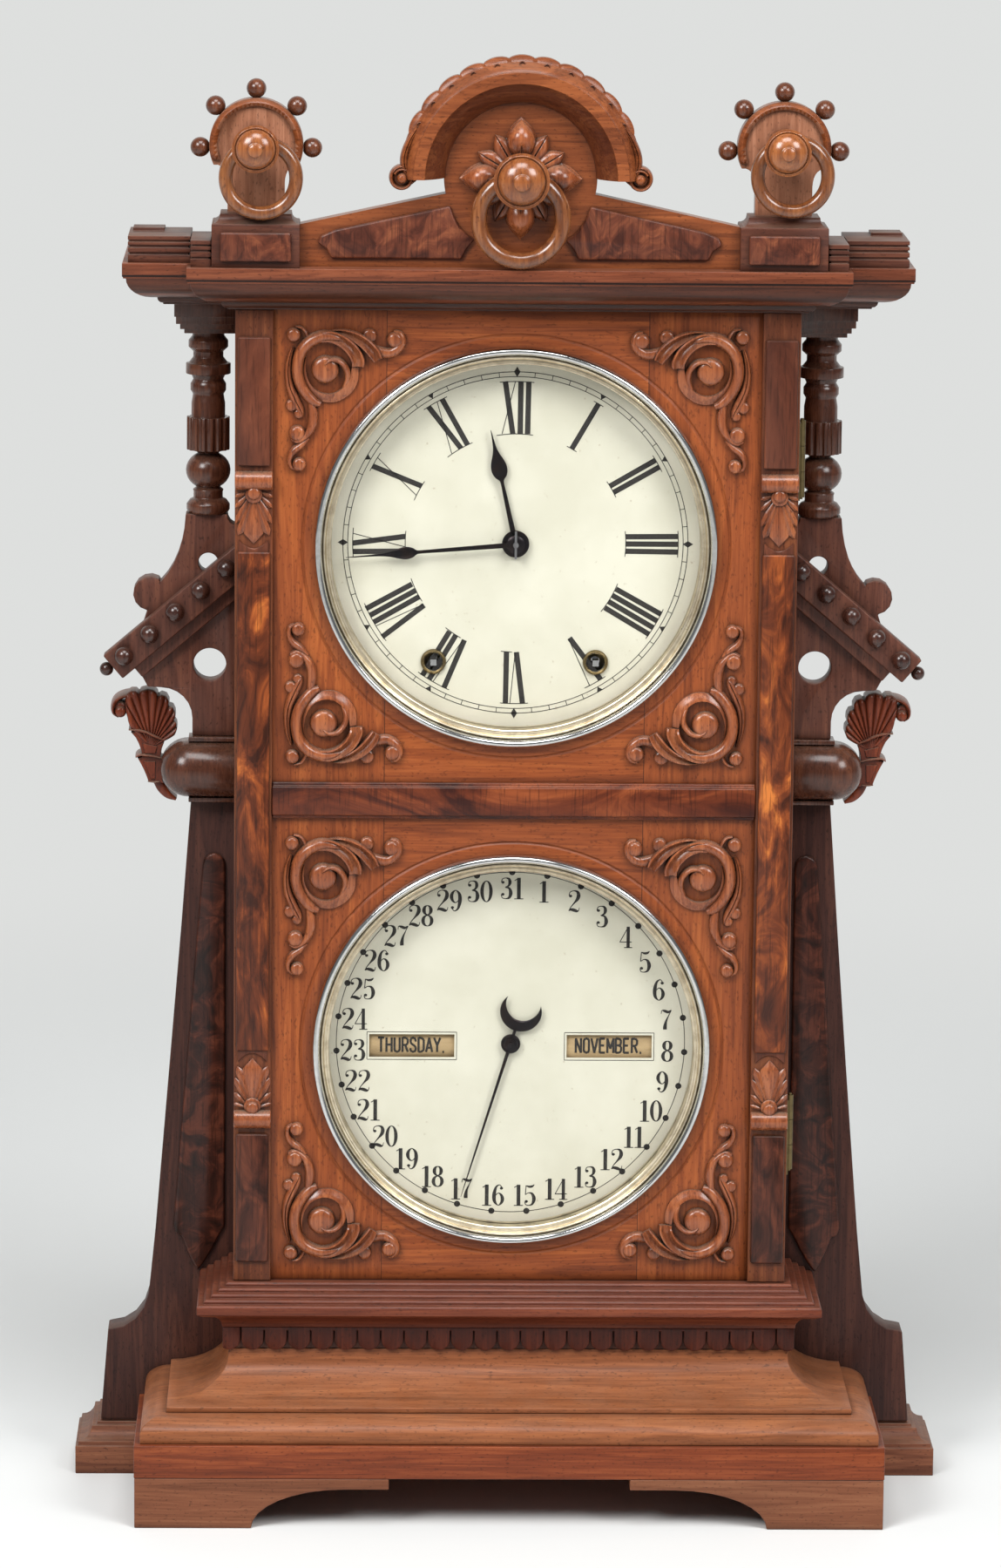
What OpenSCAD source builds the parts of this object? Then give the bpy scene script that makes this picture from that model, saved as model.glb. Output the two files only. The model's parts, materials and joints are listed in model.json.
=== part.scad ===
// Calendar shelf clock: a walnut case with two dials on one hinged door.
// Millimetres. X runs to the right, the front faces -Y and Z runs up from the floor.
// Depths are given as f, the distance in front of the wing boards' front face.

/* [Case] */
// Width across the door and the case sides
case_w = 303; // [296:1:312]
// Thickness of the case sides
side_t = 14; // [10:1:18]
// Thickness of the back panel
back_t = 7; // [5:0.5:9]
// Distance from the wing boards' front face back to the wall
wing_to_back = 46; // [44:1:56]
// Distance from the wing boards' front face to the back of the door
wing_to_door = 44; // [43:0.5:48]
// Height of the door
door_h = 535.8; // [530:1:545]

/* [Base] */
// Height of the bracket feet
foot_h = 28; // [22:1:34]
// Length of each bracket foot along the front
foot_len = 138.6; // [120:1:150]
// Thickness of the bracket feet
foot_t = 14; // [10:1:18]
// Width of the plinth
plinth_w = 409.2; // [400:1:416]
// Distance from the wing boards' front face forward to the plinth's front
proj = 114; // [108:1:120]
// Height of the plinth board
plinth_h = 18.5; // [14:0.5:24]
// Thickness of the plinth boards
plinth_t = 16; // [12:1:20]
// Height of the stacked base moulding
base_h = 41; // [36:1:48]
// Height of the scalloped apron
apron_h = 13; // [10:0.5:16]
// Pitch of the apron's tongues
tongue_pitch = 12.8; // [11:0.1:15]
// Height of the reeded sill
sill_h = 24.7; // [20:0.1:30]
// Width of the rear plinth
rear_w = 481; // [475:1:490]
// Height of the rear plinth
rear_h = 28.3; // [25:0.1:34]

/* [Wings] */
// Thickness of the lower wing boards
wing_t = 20; // [16:1:22]
// Height of the bolster above the sill
bolster_rise = 257.6; // [250:1:265]
// Radius of the bolster's roll
roll_r = 15.6; // [13:0.1:17]
// Thickness of the upper bracket boards
bracket_t = 14; // [10:1:16]
// Height of the bracket boards
bracket_h = 123; // [120:0.5:126]
// Radius of the turned ball studs
stud_r = 5.3; // [4:0.1:6]

/* [Crown] */
// Height of the cornice
cornice_h = 24.2; // [22:0.1:30]
// Radius of the centre disc
crown_r = 40.7; // [38:0.1:43]
// Height of the centre disc's centre above the cornice
crown_rise = 47.9; // [46:0.1:54]
// Distance from the case's side in to each finial's middle
finial_inset = 11.1; // [8.5:0.1:13.5]
// Radius of the finial discs
finial_r = 25; // [22:0.1:27]
// Height of a finial disc's centre above the cornice
finial_rise = 63.6; // [60:0.1:70]
// Mean radius of the centre ring
centre_ring_r = 22.3; // [21.5:0.1:24]
// Mean radius of the side rings
side_ring_r = 18.7; // [18:0.1:20]

/* [Dials] */
// Radius of the zinc dials
dial_r = 103.8; // [102:0.1:105]
// Height of the time dial's centre above the door's lower edge
time_rise = 407.3; // [404:0.1:411]
// Height of the calendar dial's centre above the door's lower edge
calendar_rise = 130; // [126:0.1:134]
// Outer radius of the bezels
bezel_r = 109.2; // [107:0.1:111]
// Thickness of the glass
glass_t = 2; // [1.5:0.1:2.1]
// Width of each calendar window
window_w = 46.8; // [40:0.1:50]
// Height of each calendar window
window_h = 12.9; // [10:0.1:14]

/* [Movement] */
// Distance of the winding arbors from the middle
wind_x = 44; // [43:0.1:45]
// Distance of the winding arbors below the dial centre
wind_drop = 65; // [64:0.1:66]
// Radius of the winding arbors
wind_r = 2.4; // [2:0.1:2.4]
// Distance between the movement plates
plate_gap = 28; // [27:0.5:32]
// Length of the pendulum from its spring to the bob's centre
pendulum_len = 245; // [230:1:255]
// Radius of the pendulum bob
bob_r = 27; // [20:0.5:30]

/* [Hidden] */
$fn = 48;
fit = 0.05;
gap = 0.3;
wing_y = 34;
function fy(f) = wing_y - f;
f_back = -wing_to_back;
f_panel = f_back + back_t;
f_door = wing_to_door;
door_t = 14;
f_face = f_door + door_t;
half = case_w / 2;
finial_x = half - finial_inset;
inner = half - side_t;
rear_f = 12;

z_plinth = foot_h;
z_base = z_plinth + plinth_h;
z_apron = z_base + base_h;
z_sill = z_apron + apron_h;
z_door = z_sill + sill_h + gap;
z_top = z_door + door_h;
z_cornice = z_top + gap;
z_crown = z_cornice + cornice_h;
z_time = z_door + time_rise;
z_cal = z_door + calendar_rise;
z_roll = z_door + bolster_rise + roll_r + 2.5;
z_bracket = z_roll + roll_r + 2.5;
z_ear = z_bracket + bracket_h;
z_floor = z_sill + 13;
f_frieze = f_face + 4.6;

walnut = [0.42, 0.19, 0.10];
walnut_red = [0.50, 0.22, 0.11];
burl = [0.55, 0.27, 0.12];
dark = [0.30, 0.14, 0.09];
brass = [0.72, 0.58, 0.30];
steel = [0.45, 0.46, 0.48];
cream = [0.90, 0.88, 0.76];
black = [0.12, 0.11, 0.12];

// Points along an elliptical arc about c, from angle a0 to a1
function arc(c, rx, rz, a0, a1, n = 8) =
    [for (i = [0:n]) let (a = a0 + (a1 - a0) * i / n) [c[0] + rx * cos(a), c[1] + rz * sin(a)]];
// Points along a curve from p to r that bends towards q
function bend(p, q, r, n = 6) =
    [for (i = [0:n]) let (t = i / n) (1 - t) * (1 - t) * p + 2 * t * (1 - t) * q + t * t * r];

// The children and their mirror image across the middle
module pair() {
    children();
    mirror([1, 0, 0]) children();
}
// An outline in X and Z, thickened from depth f0 to depth f1
module slab(f0, f1) {
    translate([0, fy(f0), 0]) rotate([90, 0, 0]) linear_extrude(f1 - f0) children();
}
module box(x0, x1, f0, f1, z0, z1) {
    translate([x0, fy(f1), z0]) cube([x1 - x0, f1 - f0, z1 - z0]);
}
module post(x, z, f0, f1, r) {
    translate([x, fy(f0), z]) rotate([90, 0, 0]) cylinder(r = r, h = f1 - f0);
}
// A turned piece facing the front: its profile is radius and distance forward of f
module turned(x, z, f, pts) {
    translate([x, fy(f), z]) rotate([90, 0, 0]) rotate_extrude() polygon(pts);
}
module ball(x, z, f, r) {
    translate([x, fy(f), z]) sphere(r = r);
}
// A moulding on the front and both sides, mitred at the corners.
// pts holds distance from the middle and height, front_pts depth and height.
module mitred(pts, front_pts, f_rear) {
    w = max([for (p = pts) p[0]]) + 1;
    f_max = max([for (p = front_pts) p[0]]) + 1;
    n = len(pts);
    intersection() {
        translate([-w, 0, 0]) rotate([90, 0, 90]) linear_extrude(2 * w)
            polygon(concat([for (p = front_pts) [fy(p[0]), p[1]]],
                [[fy(f_rear), pts[n - 1][1]], [fy(f_rear), pts[0][1]]]));
        translate([0, fy(f_rear), 0]) rotate([90, 0, 0]) linear_extrude(f_max - f_rear)
            polygon(concat(pts, [for (i = [n - 1:-1:0]) [-pts[i][0], pts[i][1]]]));
    }
}
// A wheel's outline with straight-sided teeth
module teeth(n, r, depth = 1.4) {
    polygon([for (i = [0:n - 1]) for (k = [0:3]) let (a = 360 * (i + [0, 0.22, 0.5, 0.72][k]) / n,
        q = k < 2 ? r : r - depth) [q * cos(a), q * sin(a)]]);
}
module wheel(x, z, f0, f1, n, r, bore) {
    slab_at(x, z, f0, f1) difference() {
        teeth(n, r);
        circle(r = bore);
        for (a = [45:90:315]) rotate(a) translate([r * 0.5, 0]) circle(r = r * 0.2);
    }
}
module slab_at(x, z, f0, f1) {
    translate([x, fy(f0), z]) rotate([90, 0, 0]) linear_extrude(f1 - f0) children();
}

// Base

module foot_outline() {
    drop = foot_h - 6;
    polygon(concat([[0, foot_h], [0, 0], [foot_len - 75, 0]],
        [for (p = arc([foot_len - 24.2, 0], 50.8, drop, 180, 90)) p], [[foot_len, drop], [foot_len, foot_h]]));
}
module bracket_feet() color(walnut) {
    hw = plinth_w / 2 - 0.3;
    side_len = proj - rear_f - gap;
    pair() {
        translate([-hw, fy(proj - foot_t), 0]) rotate([90, 0, 0]) linear_extrude(foot_t) foot_outline();
        intersection() {
            translate([-hw, fy(proj), 0]) rotate([90, 0, 90]) linear_extrude(foot_t) foot_outline();
            box(-hw, -hw + foot_t, proj - side_len, proj - foot_t, 0, foot_h);
        }
    }
}
module plinth_frame() color(walnut_red) {
    hw = plinth_w / 2;
    difference() {
        box(-hw, hw, rear_f + gap, proj, z_plinth, z_base);
        box(-hw + plinth_t, hw - plinth_t, rear_f - 1, proj - plinth_t, z_plinth - 1, z_base - 7);
    }
    box(-half, half, f_panel, rear_f + 1, rear_h, z_base);
}
// Half the base moulding's profile, from its lip in to the top of its cove
function base_profile(lip, cove) = let (fil = lip - 14.4, neck = z_base + base_h * 0.41)
    concat([[lip, z_base], [lip, z_base + 4.2]], arc([fil, z_base + 5], 14.4, 8.8, 0, 90),
        [[fil + 0.3, z_base + 13.8], [fil + 0.3, neck]],
        arc([fil + 0.3, z_apron - 4], fil + 0.3 - cove, z_apron - 4 - neck, 270, 180), [[cove, z_apron]]);
module base_moulding() color(walnut_red) {
    difference() {
        mitred(base_profile(plinth_w / 2 - 3.2, half + 2.5), base_profile(proj - 3.2, f_frieze + 0.8), 0);
        box(-half, half, -1, f_frieze, z_base - 1, z_apron + 1);
    }
}
module tongues(count) {
    r = tongue_pitch / 2 - 0.4;
    for (i = [0:count - 1]) translate([(i + 0.5) * tongue_pitch, r]) {
        circle(r = r);
        translate([-r, 0]) square([2 * r, apron_h - r]);
    }
    translate([0.4, apron_h - 2]) square([count * tongue_pitch - 0.8, 2]);
}
module scalloped_apron() color(walnut) {
    out = half + 5.7;
    apron_f = f_frieze + 4;
    count = floor(2 * (out - 8) / tongue_pitch);
    x0 = count * tongue_pitch / 2;
    side_n = floor((apron_f - 1) / tongue_pitch);
    slab_at(-x0, z_apron, apron_f - 4, apron_f) tongues(count);
    pair() {
        slab_at(0, z_apron, apron_f - 4, apron_f) intersection() {
            translate([x0, 0]) tongues(1);
            square([out, apron_h]);
        }
        translate([out - 4, fy(apron_f - 4.2), z_apron]) rotate([90, 0, 90]) linear_extrude(4)
            intersection() {
                tongues(side_n);
                square([apron_f - 4.5, apron_h]);
            }
        box(x0 + 0.4, out, apron_f - 4, apron_f, z_sill - 2, z_sill);
        box(half, out - 4, 0, f_frieze, z_sill - 2, z_sill);
    }
}
// The sill's profile, standing out from a face at b
function sill_profile(b) = let (out = b + 19.7, steps = 5, rise = (sill_h - 13.1) / steps, tread = 3.9)
    concat([[b + 4, z_sill], [b + 6, z_sill]], arc([out - 3, z_sill], 10.7, 8.5, 180, 90),
        [[out, z_sill + 10.1], [out, z_sill + 13.1]],
        [for (i = [0:steps - 1]) for (q = [[0, 0], [0, rise * 0.5], [-0.9, rise], [-tread, rise]])
            [out - i * tread + q[0], z_sill + 13.1 + i * rise + q[1]]]);
module sill_moulding() color(walnut_red) {
    difference() {
        mitred(sill_profile(half), sill_profile(f_face + 2.9), 0);
        box(-half, half, -1, f_door - gap, z_sill - 1, z_door + 1);
    }
}

// Case

module case_boards() color(walnut) {
    pair() box(inner, half, f_panel, f_door - gap, z_base, z_cornice);
    box(-inner, inner, f_panel, f_door - gap, z_top - 14, z_cornice);
    box(-inner, inner, f_panel, f_door - gap, z_sill - 6, z_floor);
    box(-half, half, f_door - gap, f_frieze, z_base, z_sill);
}
module back_panel() color(dark) {
    box(-half, half, f_back, f_panel, rear_h, z_cornice);
}
function rear_profile(out) = let (h = rear_h - 12.5, top = out - 13.8)
    concat([[out, 0], [out, h], [out - 1.5, h], [out - 1.5, h + 2.5]],
        arc([out - 2.5, h + 9.5], 6.5, 7, 270, 180, 5),
        [[top + 2, h + 9.5], [top + 2, h + 11], [top, h + 11], [top, rear_h]]);
module rear_plinth() color(walnut) mitred(rear_profile(rear_w / 2), rear_profile(rear_f), f_back);

// Wings

module wing_boards() color(dark) {
    top = z_roll - roll_r - 2.5;
    edge = half + 24.8;
    pts = concat([[half, rear_h], [half, top], [edge, top]],
        bend([edge, top], [edge + 7, z_door + 160], [half + 44.5, z_door + 13], 6),
        [for (a = [10:20:90]) [half + 69.5 - 21.5 * cos(a), z_door - 20.3 - 24.5 * sin(a)]],
        [[half + 71, z_door - 45.2], [half + 75.2, rear_h]]);
    pair() slab(-wing_t, 0) polygon(pts);
}
module wing_panel_outline() {
    low = z_door + 15.2;
    high = z_door + 227.3;
    polygon(concat([[half + 5.8, low], [half + 5.8, high - 7]],
        arc([half + 12.1, high - 6.5], 6.3, 6.5, 180, 0, 6),
        [[half + 34.5, low], [half + 33, low - 4.6], [half + 30, low - 5.5]],
        bend([half + 30, low - 5.5], [half + 25, low - 20], [half + 20.9, low - 25.7], 4),
        bend([half + 20.9, low - 25.7], [half + 14, low - 17], [half + 9, low - 5.5], 4)));
}
module pediment_panel_outline() {
    z0 = z_crown + 4.6;
    polygon(concat([[-107.8, z0 + 8.2], [-106, z0 + 12]],
        [[-98.3, z0 + 15.4], [-37.2, z0 + 28.6]],
        bend([-37.2, z0 + 28.6], [-33.5, z0 + 15], [-23.8, z0 + 10.5], 5),
        bend([-23.8, z0 + 10.5], [-28.5, z0 + 6.5], [-31.1, z0], 4), [[-100.4, z0], [-103, z0 + 5]]));
}
module veneer_panels() color(burl) pair() {
    slab(0, 2.5) wing_panel_outline();
    slab(74, 76.5) pediment_panel_outline();
    box(finial_x - 19, finial_x + 19, 82, 85, z_crown + 3.4, z_crown + 19);
}
rake = 40.4;
rake_end = [half + 72.5, z_bracket + 45.8];
rail_w = 16.4;
module bracket_outline() {
    difference() {
        polygon(concat([[half, z_bracket], [half, z_ear - 6]],
            arc([half, z_ear], 5, 6, 270, 360, 4), [[half + 27.7, z_ear]],
            bend([half + 27.7, z_ear], [half + 29, z_ear - 25], [half + 41.5, z_ear - 37.8]),
            arc([half + 47, z_ear - 44.2], 9.4, 9.4, 120, -80, 8),
            [[half + 54, z_ear - 70], [half + 51.8, z_bracket + 33.5]],
            [[half + 48.4, z_bracket + 27.2], [half + 40.3, z_bracket + 26.8]],
            arc([half + 41, z_bracket + 9.8], 17, 17, 90, 180, 6), [[half + 24, z_bracket]]));
        translate([half + 15.4, z_bracket + 96.2]) circle(r = 5.4);
        translate([half + 14.5, z_bracket + 39.8]) circle(r = 9);
    }
}
f_bracket = 6;
module bracket_boards() color(dark) {
    pair() slab(f_bracket - bracket_t, f_bracket) bracket_outline();
}
module rake_band(a, b, s0, s1) {
    ux = [-cos(rake), sin(rake)];
    dn = [-sin(rake), -cos(rake)];
    intersection() {
        polygon([rake_end + s0 * dn + a * ux, rake_end + s0 * dn + b * ux,
            rake_end + s1 * dn + b * ux, rake_end + s1 * dn + a * ux]);
        translate([half, z_bracket]) square([110, 140]);
    }
}
module rake_rails() color(dark) pair() {
    slab(f_bracket, f_bracket + 10) rake_band(0, 130, 0, rail_w);
    slab(f_bracket, f_bracket + 5) rake_band(8, 130, rail_w, rail_w + 7);
}
// A turned stud's half outline, cut flat below by an angle under its middle
function stud_profile(low) = let (r = stud_r) concat([[0, 0]],
    [for (p = arc([0, r * sin(low)], r, r, -low, 90, 10)) [max(p[0], 0), p[1]]]);
module ball_studs() color(dark) pair() {
    for (i = [0:4]) turned(half + 61 - 13.9 * i, z_bracket + 46.2 + 12.15 * i, f_bracket + 10, stud_profile(22));
    difference() {
        ball(half + 70.8, z_bracket + 37.8, f_bracket + 4, 3.8);
        slab(0, 20) rake_band(-fit, 20, 0, rail_w + 1);
    }
    for (a = [-3, 43.5, 90, 136.5, 183]) translate([finial_x, fy(61), z_crown + finial_rise])
        rotate([0, 90 - a, 0]) translate([0, 0, finial_r]) rotate_extrude() polygon(stud_profile(65));
}
module bolsters() color(walnut) {
    r = roll_r;
    rest = 26;
    f0 = f_bracket - 10;
    pair() {
        slab(f0, f_bracket) {
            translate([half, z_roll - r]) square([rest, 2 * r]);
            translate([half + rest, z_roll]) circle(r = r);
        }
        slab(f0, f_bracket + 5) translate([half, z_roll + r]) square([rest, 2.5]);
        slab(f0, f_bracket + 5) translate([half, z_roll - r - 2.5]) square([rest, 2.5]);
        intersection() {
            union() {
                translate([half, fy(f_bracket), z_roll]) rotate([0, 90, 0]) cylinder(r = r, h = rest);
                translate([half + rest, fy(f_bracket), z_roll]) sphere(r = r);
            }
            box(half, half + rest + r + 1, f_bracket, f_bracket + r + 1, z_roll - r - 1, z_roll + r + 1);
        }
    }
}
module palmettes() color(walnut_red) {
    c = [half + 45.5, z_roll + 20];
    f0 = f_bracket - 24;
    pair() slab(f0, f_bracket - 10) {
        for (i = [0:6]) let (a = 128 - 27 * i, d = 17.5 - 0.7 * i)
            translate(c + d * [cos(a), sin(a)]) circle(r = 5.6);
        polygon([c + [12, 16], c + [-10, 15], c + [-16, 6], c + [-13, -4], c + [-8.5, -7.5],
            c + [-7, -19], c + [-2, -28], c + [1.5, -29], c + [9.5, -16], c + [7, -12], c + [13.5, 0]]);
        translate(c + [18.5, 11.5]) circle(r = 4.6);
        polygon(concat(bend(c + [-2, -28], c + [-9, -37], c + [-14, -40]),
            bend(c + [-13, -37], c + [-8, -33], c + [0, -20])));
    }
}
col_x = half + 15.6;
col_f = -1;
module columns() color(dark) {
    top = z_cornice;
    cap = 19.5;
    z0 = z_ear;
    h = top - cap - z0;
    s = h / 99;
    ring = [[0, 0], [10.6, 0], [11.8, 2], [11.8, 5], [10, 7.4], [8, 8.4], [8, 11.6], [8.4, 12.8]];
    vase = [for (p = arc([0, 23.3], 12.2, 10.6, -58, 62, 10)) p];
    fluted = [[7.6, 34.4], [11.8, 34.6], [11.8, 52.4], [9.2, 52.4], [9.2, 60], [8.4, 64.8]];
    upper = [[8.4, 64.8], [9.7, 67], [9.7, 70.5], [8.2, 73], [9.4, 75.6], [12.2, 76], [12.2, 81.6],
        [10.6, 82], [8.2, 85], [8.2, 88], [10.8, 90.4], [10.8, 94], [8.7, 96.6], [8.7, 99], [0, 99]];
    pts = concat(ring, vase, fluted, upper);
    pair() {
        difference() {
            translate([col_x, fy(col_f), z0]) rotate_extrude() polygon([for (p = pts) [p[0], p[1] * s]]);
            for (i = [0:15]) translate([col_x + 12.6 * cos(22.5 * i), fy(col_f) + 12.6 * sin(22.5 * i),
                z0 + 34 * s]) cylinder(r = 1.7, h = 19 * s);
        }
        box(half, col_x + 18.1, col_f - 18, col_f + 18, top - 10, top);
        box(half, col_x + 17.2, col_f - 17, col_f + 17, top - 14, top - 10);
        box(half, col_x + 15, col_f - 15, col_f + 15, top - 17, top - 14);
        box(half, col_x + 12.8, col_f - 12.8, col_f + 12.8, top - cap, top - 17);
    }
}

// Crown

function cornice_profile(out) = concat([[out - 21.4, z_cornice], [out - 21.4, z_cornice + 0.8]],
    arc([out - 21.4, z_cornice + 4.2], 3.2, 3.4, 270, 360, 3),
    arc([out - 18.2, z_cornice + 16], 16.2, 11.8, 270, 360),
    [[out - 0.5, z_cornice + 16], [out - 0.5, z_cornice + 17], [out, z_cornice + 17], [out, z_crown]]);
side_out = half + 60.3;
front_out = half + 25.5;
side_f = 65;
front_f = 86;
module cornice() color(walnut_red) {
    mitred(cornice_profile(side_out), cornice_profile(side_f), f_back);
    mitred(cornice_profile(front_out), cornice_profile(front_f), 0);
}
module reeded(x0, x1, f0, f1) {
    z = z_crown;
    for (q = [[0, 4.2, 0], [4.2, 5.4, 1], [5.4, 8, 0], [8, 9.2, 1], [9.2, 11, 0], [11, 12, 1], [12, 14.2, 0]])
        box(x0 + q[2], x1 - q[2], f0 + q[2], f1 - q[2], z + q[0], z + q[1]);
}
module parapet_blocks() color(walnut) pair() {
    reeded(front_out - 12.9, front_out - 2, 34, 80);
    reeded(front_out - 1.7, side_out - 3, 14, 60);
    box(side_out - 22, side_out - 5, 18, 34, z_crown + 14.2, z_crown + 16);
}
block_w = 23.4;
module pediment_board() color(walnut_red) {
    inner_x = finial_x - block_w;
    slab(62, 74) {
        polygon([[-inner_x, z_crown], [inner_x, z_crown], [inner_x, z_crown + 22.6],
            [crown_r - 2.5, z_crown + 39.8], [-crown_r + 2.5, z_crown + 39.8], [-inner_x, z_crown + 22.6]]);
        translate([0, z_crown + crown_rise]) circle(r = crown_r);
    }
}
hood_t = 16;
module crest_hood() color(walnut_red) {
    zc = z_crown + crown_rise;
    lobe_r = crown_r + 19.3;
    intersection() {
        turned(0, zc, 74, concat([[crown_r - 3, 0]], arc([crown_r + 9, 0], 11, hood_t, 180, 90, 5),
            [[crown_r + 15.4, hood_t], [crown_r + 17.5, 11.6], [crown_r + 19, 9], [crown_r + 19, 0]]));
        box(-90, 90, 73, 91, zc, zc + 90);
    }
    slab(74, 82) {
        for (a = [30:12:150]) translate([lobe_r * cos(a), zc + lobe_r * sin(a)]) circle(r = 5.9);
        pair() polygon([[crown_r + 15, zc + 3], [crown_r + 24.3, zc + 5], [crown_r + 22.5, zc + 17],
            [crown_r + 17, zc + 29], [crown_r + 8, zc + 32]]);
    }
    slab(74, 84) pair() translate([crown_r + 22.4, zc + 7.6]) circle(r = 7.2);
}
module petal(a, d, l, w, h) {
    zc = z_crown + crown_rise;
    translate([0, fy(74), zc]) rotate([0, a, 0]) translate([0, 0, d]) hull() {
        translate([0, 0, l * 0.4]) rotate([90, 0, 0]) cylinder(r = w, h = h * 0.4, $fn = 12);
        translate([0, -h * 0.5, l * 0.4]) sphere(r = h * 0.5, $fn = 10);
        translate([0, 0, l]) rotate([90, 0, 0]) cylinder(r = 0.6, h = h * 0.4, $fn = 12);
    }
}
module rosette() color(burl) {
    turned(0, z_crown + crown_rise, 74, [[0, 0], [13, 0], [13, 3], [0, 3]]);
    for (i = [0:3]) petal(90 * i, 13.4, 19.5, 6.8, 6.2);
    for (i = [0:3]) petal(90 * i + 45, 13.4, 12, 3.8, 3.6);
}
// Each knob: x, height above the cornice, depth of its seat, head radius, tilt, ring radius,
// ring thickness radius, height of the ring's seat above the centre, ring's distance from the seat
knob_c = [0, crown_rise + 0.4, 77, 14.9, 0, centre_ring_r, 4.4, 1.3, 8.7];
knob_l = [-finial_x, finial_rise + 0.4, 66, 12.5, -9.5, side_ring_r, 3.7, 2.3, 17];
knob_r = [finial_x, finial_rise + 0.4, 66, 12.5, -15, side_ring_r, 3.7, 5, 17];
ring_seat = 0.05;
// The eye's radius lets the ring rest on both edges of the neck
function eye_r(k) = let (w = k[6] + 1.3, c = sqrt(k[5] * k[5] - w * w))
    k[5] - c + k[6] * k[5] / c - ring_seat + 0.02;
function hole_f(k) = k[2] + k[8];
module at_knob(k) {
    translate([k[0], 0, z_crown + k[1]]) rotate([0, k[4], 0]) children();
}
module ring_knob(k) at_knob(k) {
    r = k[3];
    neck = k[8] + k[6] + 4.3;
    half_w = k[6] + 1.3;
    difference() {
        intersection() {
            post(0, 0, k[2], k[2] + neck, r * 0.84);
            box(-half_w, half_w, k[2], k[2] + neck, -r, r);
        }
        translate([-r, fy(hole_f(k)), k[7] - ring_seat]) rotate([0, 90, 0]) cylinder(r = eye_r(k), h = 2 * r);
    }
    turned(0, 0, k[2] + neck, concat([[0, 0], [r * 0.9, 0], [r, 1.6], [r, 3.2]],
        arc([0, 3.2], r * 0.93, r * 0.5, 0, 72, 7), [[r * 0.27, r * 0.5 + 4.6], [0, r * 0.5 + 5]]));
}
module ring_knobs() color(burl) {
    ring_knob(knob_c);
    ring_knob(knob_l);
    ring_knob(knob_r);
}
module pull_ring(k) at_knob(k) {
    translate([0, fy(hole_f(k)), k[7] - k[5]]) rotate([90, 0, 0]) rotate_extrude()
        translate([k[5], 0]) circle(r = k[6]);
}
module centre_ring() color(burl) pull_ring(knob_c);
module left_ring() color(burl) pull_ring(knob_l);
module right_ring() color(burl) pull_ring(knob_r);
block_f = [50, 82];
module coved(w) {
    polygon(concat([[-w, 0], [w, 0]], arc([w - 0.2, 5.2], 4.2, 4.2, 270, 180, 4),
        [[w - 4.4, 6.1], [4.4 - w, 6.1]], arc([0.2 - w, 5.2], 4.2, 4.2, 0, -90, 4)));
}
module finial_blocks() color(walnut) pair() {
    z = z_crown;
    box(finial_x - block_w, finial_x + block_w, block_f[0], block_f[1], z, z + 22.2);
    translate([finial_x, 0, z + 22.2]) intersection() {
        slab(block_f[0], block_f[1]) coved(block_w);
        translate([-block_w, fy((block_f[0] + block_f[1]) / 2), 0]) rotate([90, 0, 90])
            linear_extrude(2 * block_w) coved((block_f[1] - block_f[0]) / 2);
    }
}
module shoulder_cut() {
    polygon(concat([[-30, -10.6]], bend([-20.4, -10.6], [-15.6, -12], [-15.2, -20]),
        [[-15.6, -20.4], [-30, -20.4]]));
}
module finial_boards() color(walnut) pair() {
    z = z_crown + 28.3;
    zc = z_crown + finial_rise;
    slab(56, 66) translate([finial_x, zc]) difference() {
        union() {
            circle(r = finial_r);
            translate([-15.2, z - zc]) square([30.4, zc - z]);
        }
        shoulder_cut();
        mirror([1, 0]) shoulder_cut();
    }
    rim_r = finial_r - 0.3;
    intersection() {
        turned(finial_x, zc, 66, [[rim_r - 4, 0], [rim_r, 0], [rim_r, 1.2], [rim_r - 2, 2.4], [rim_r - 4, 1.6]]);
        box(finial_x - 30, finial_x + 30, 65, 69, zc - 7.7, zc + 30);
    }
}

// Dials and hands

f_dial = 41.2;
sheet_t = 0.8;
board_t = 4.7;
hand_fit = 0.02;
win_x = 54.2;
win_z = -1.9;
day_r = 15.1;
month_r = 26;
roll_gap = 1.1;
day_f = f_dial - roll_gap - day_r;
month_f = f_dial - roll_gap - month_r;
module winding_holes(r) {
    for (s = [-1, 1]) translate([s * wind_x, z_time - wind_drop]) circle(r = r);
}
module dial_board() color(dark) slab(f_dial - board_t, f_dial) difference() {
    translate([-inner, z_floor]) square([2 * inner, z_top - 14 - z_floor]);
    translate([0, z_time]) circle(r = 6);
    winding_holes(8);
    translate([0, z_cal]) circle(r = 4);
    for (s = [-1, 1]) translate([s * win_x - window_w / 2 - 2.6, z_cal + win_z - 15])
        square([window_w + 5.2, 30]);
}
module time_dial() color(cream) {
    slab(f_dial, f_dial + sheet_t) difference() {
        translate([0, z_time]) circle(r = dial_r);
        translate([0, z_time]) circle(r = 4.8);
        winding_holes(5.1);
    }
    for (s = [-1, 1]) turned(s * wind_x, z_time - wind_drop, f_dial + sheet_t,
        [[5.1, 0], [6.4, 0], [6.2, 0.6], [5.1, 0.8]]);
}
module calendar_dial() color(cream) slab(f_dial, f_dial + sheet_t) difference() {
    translate([0, z_cal]) circle(r = dial_r);
    translate([0, z_cal]) circle(r = 2.6);
    for (s = [-1, 1]) translate([s * win_x - window_w / 2, z_cal + win_z - window_h / 2])
        square([window_w, window_h]);
}
hour_angle = 12.7;
minute_angle = 94.7;
date_angle = 162.9;
arbor_r = 1.5;
pipe_r = 3.6;
f_hour = f_dial + 3.2;
f_minute = f_hour + 2.6;
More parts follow.
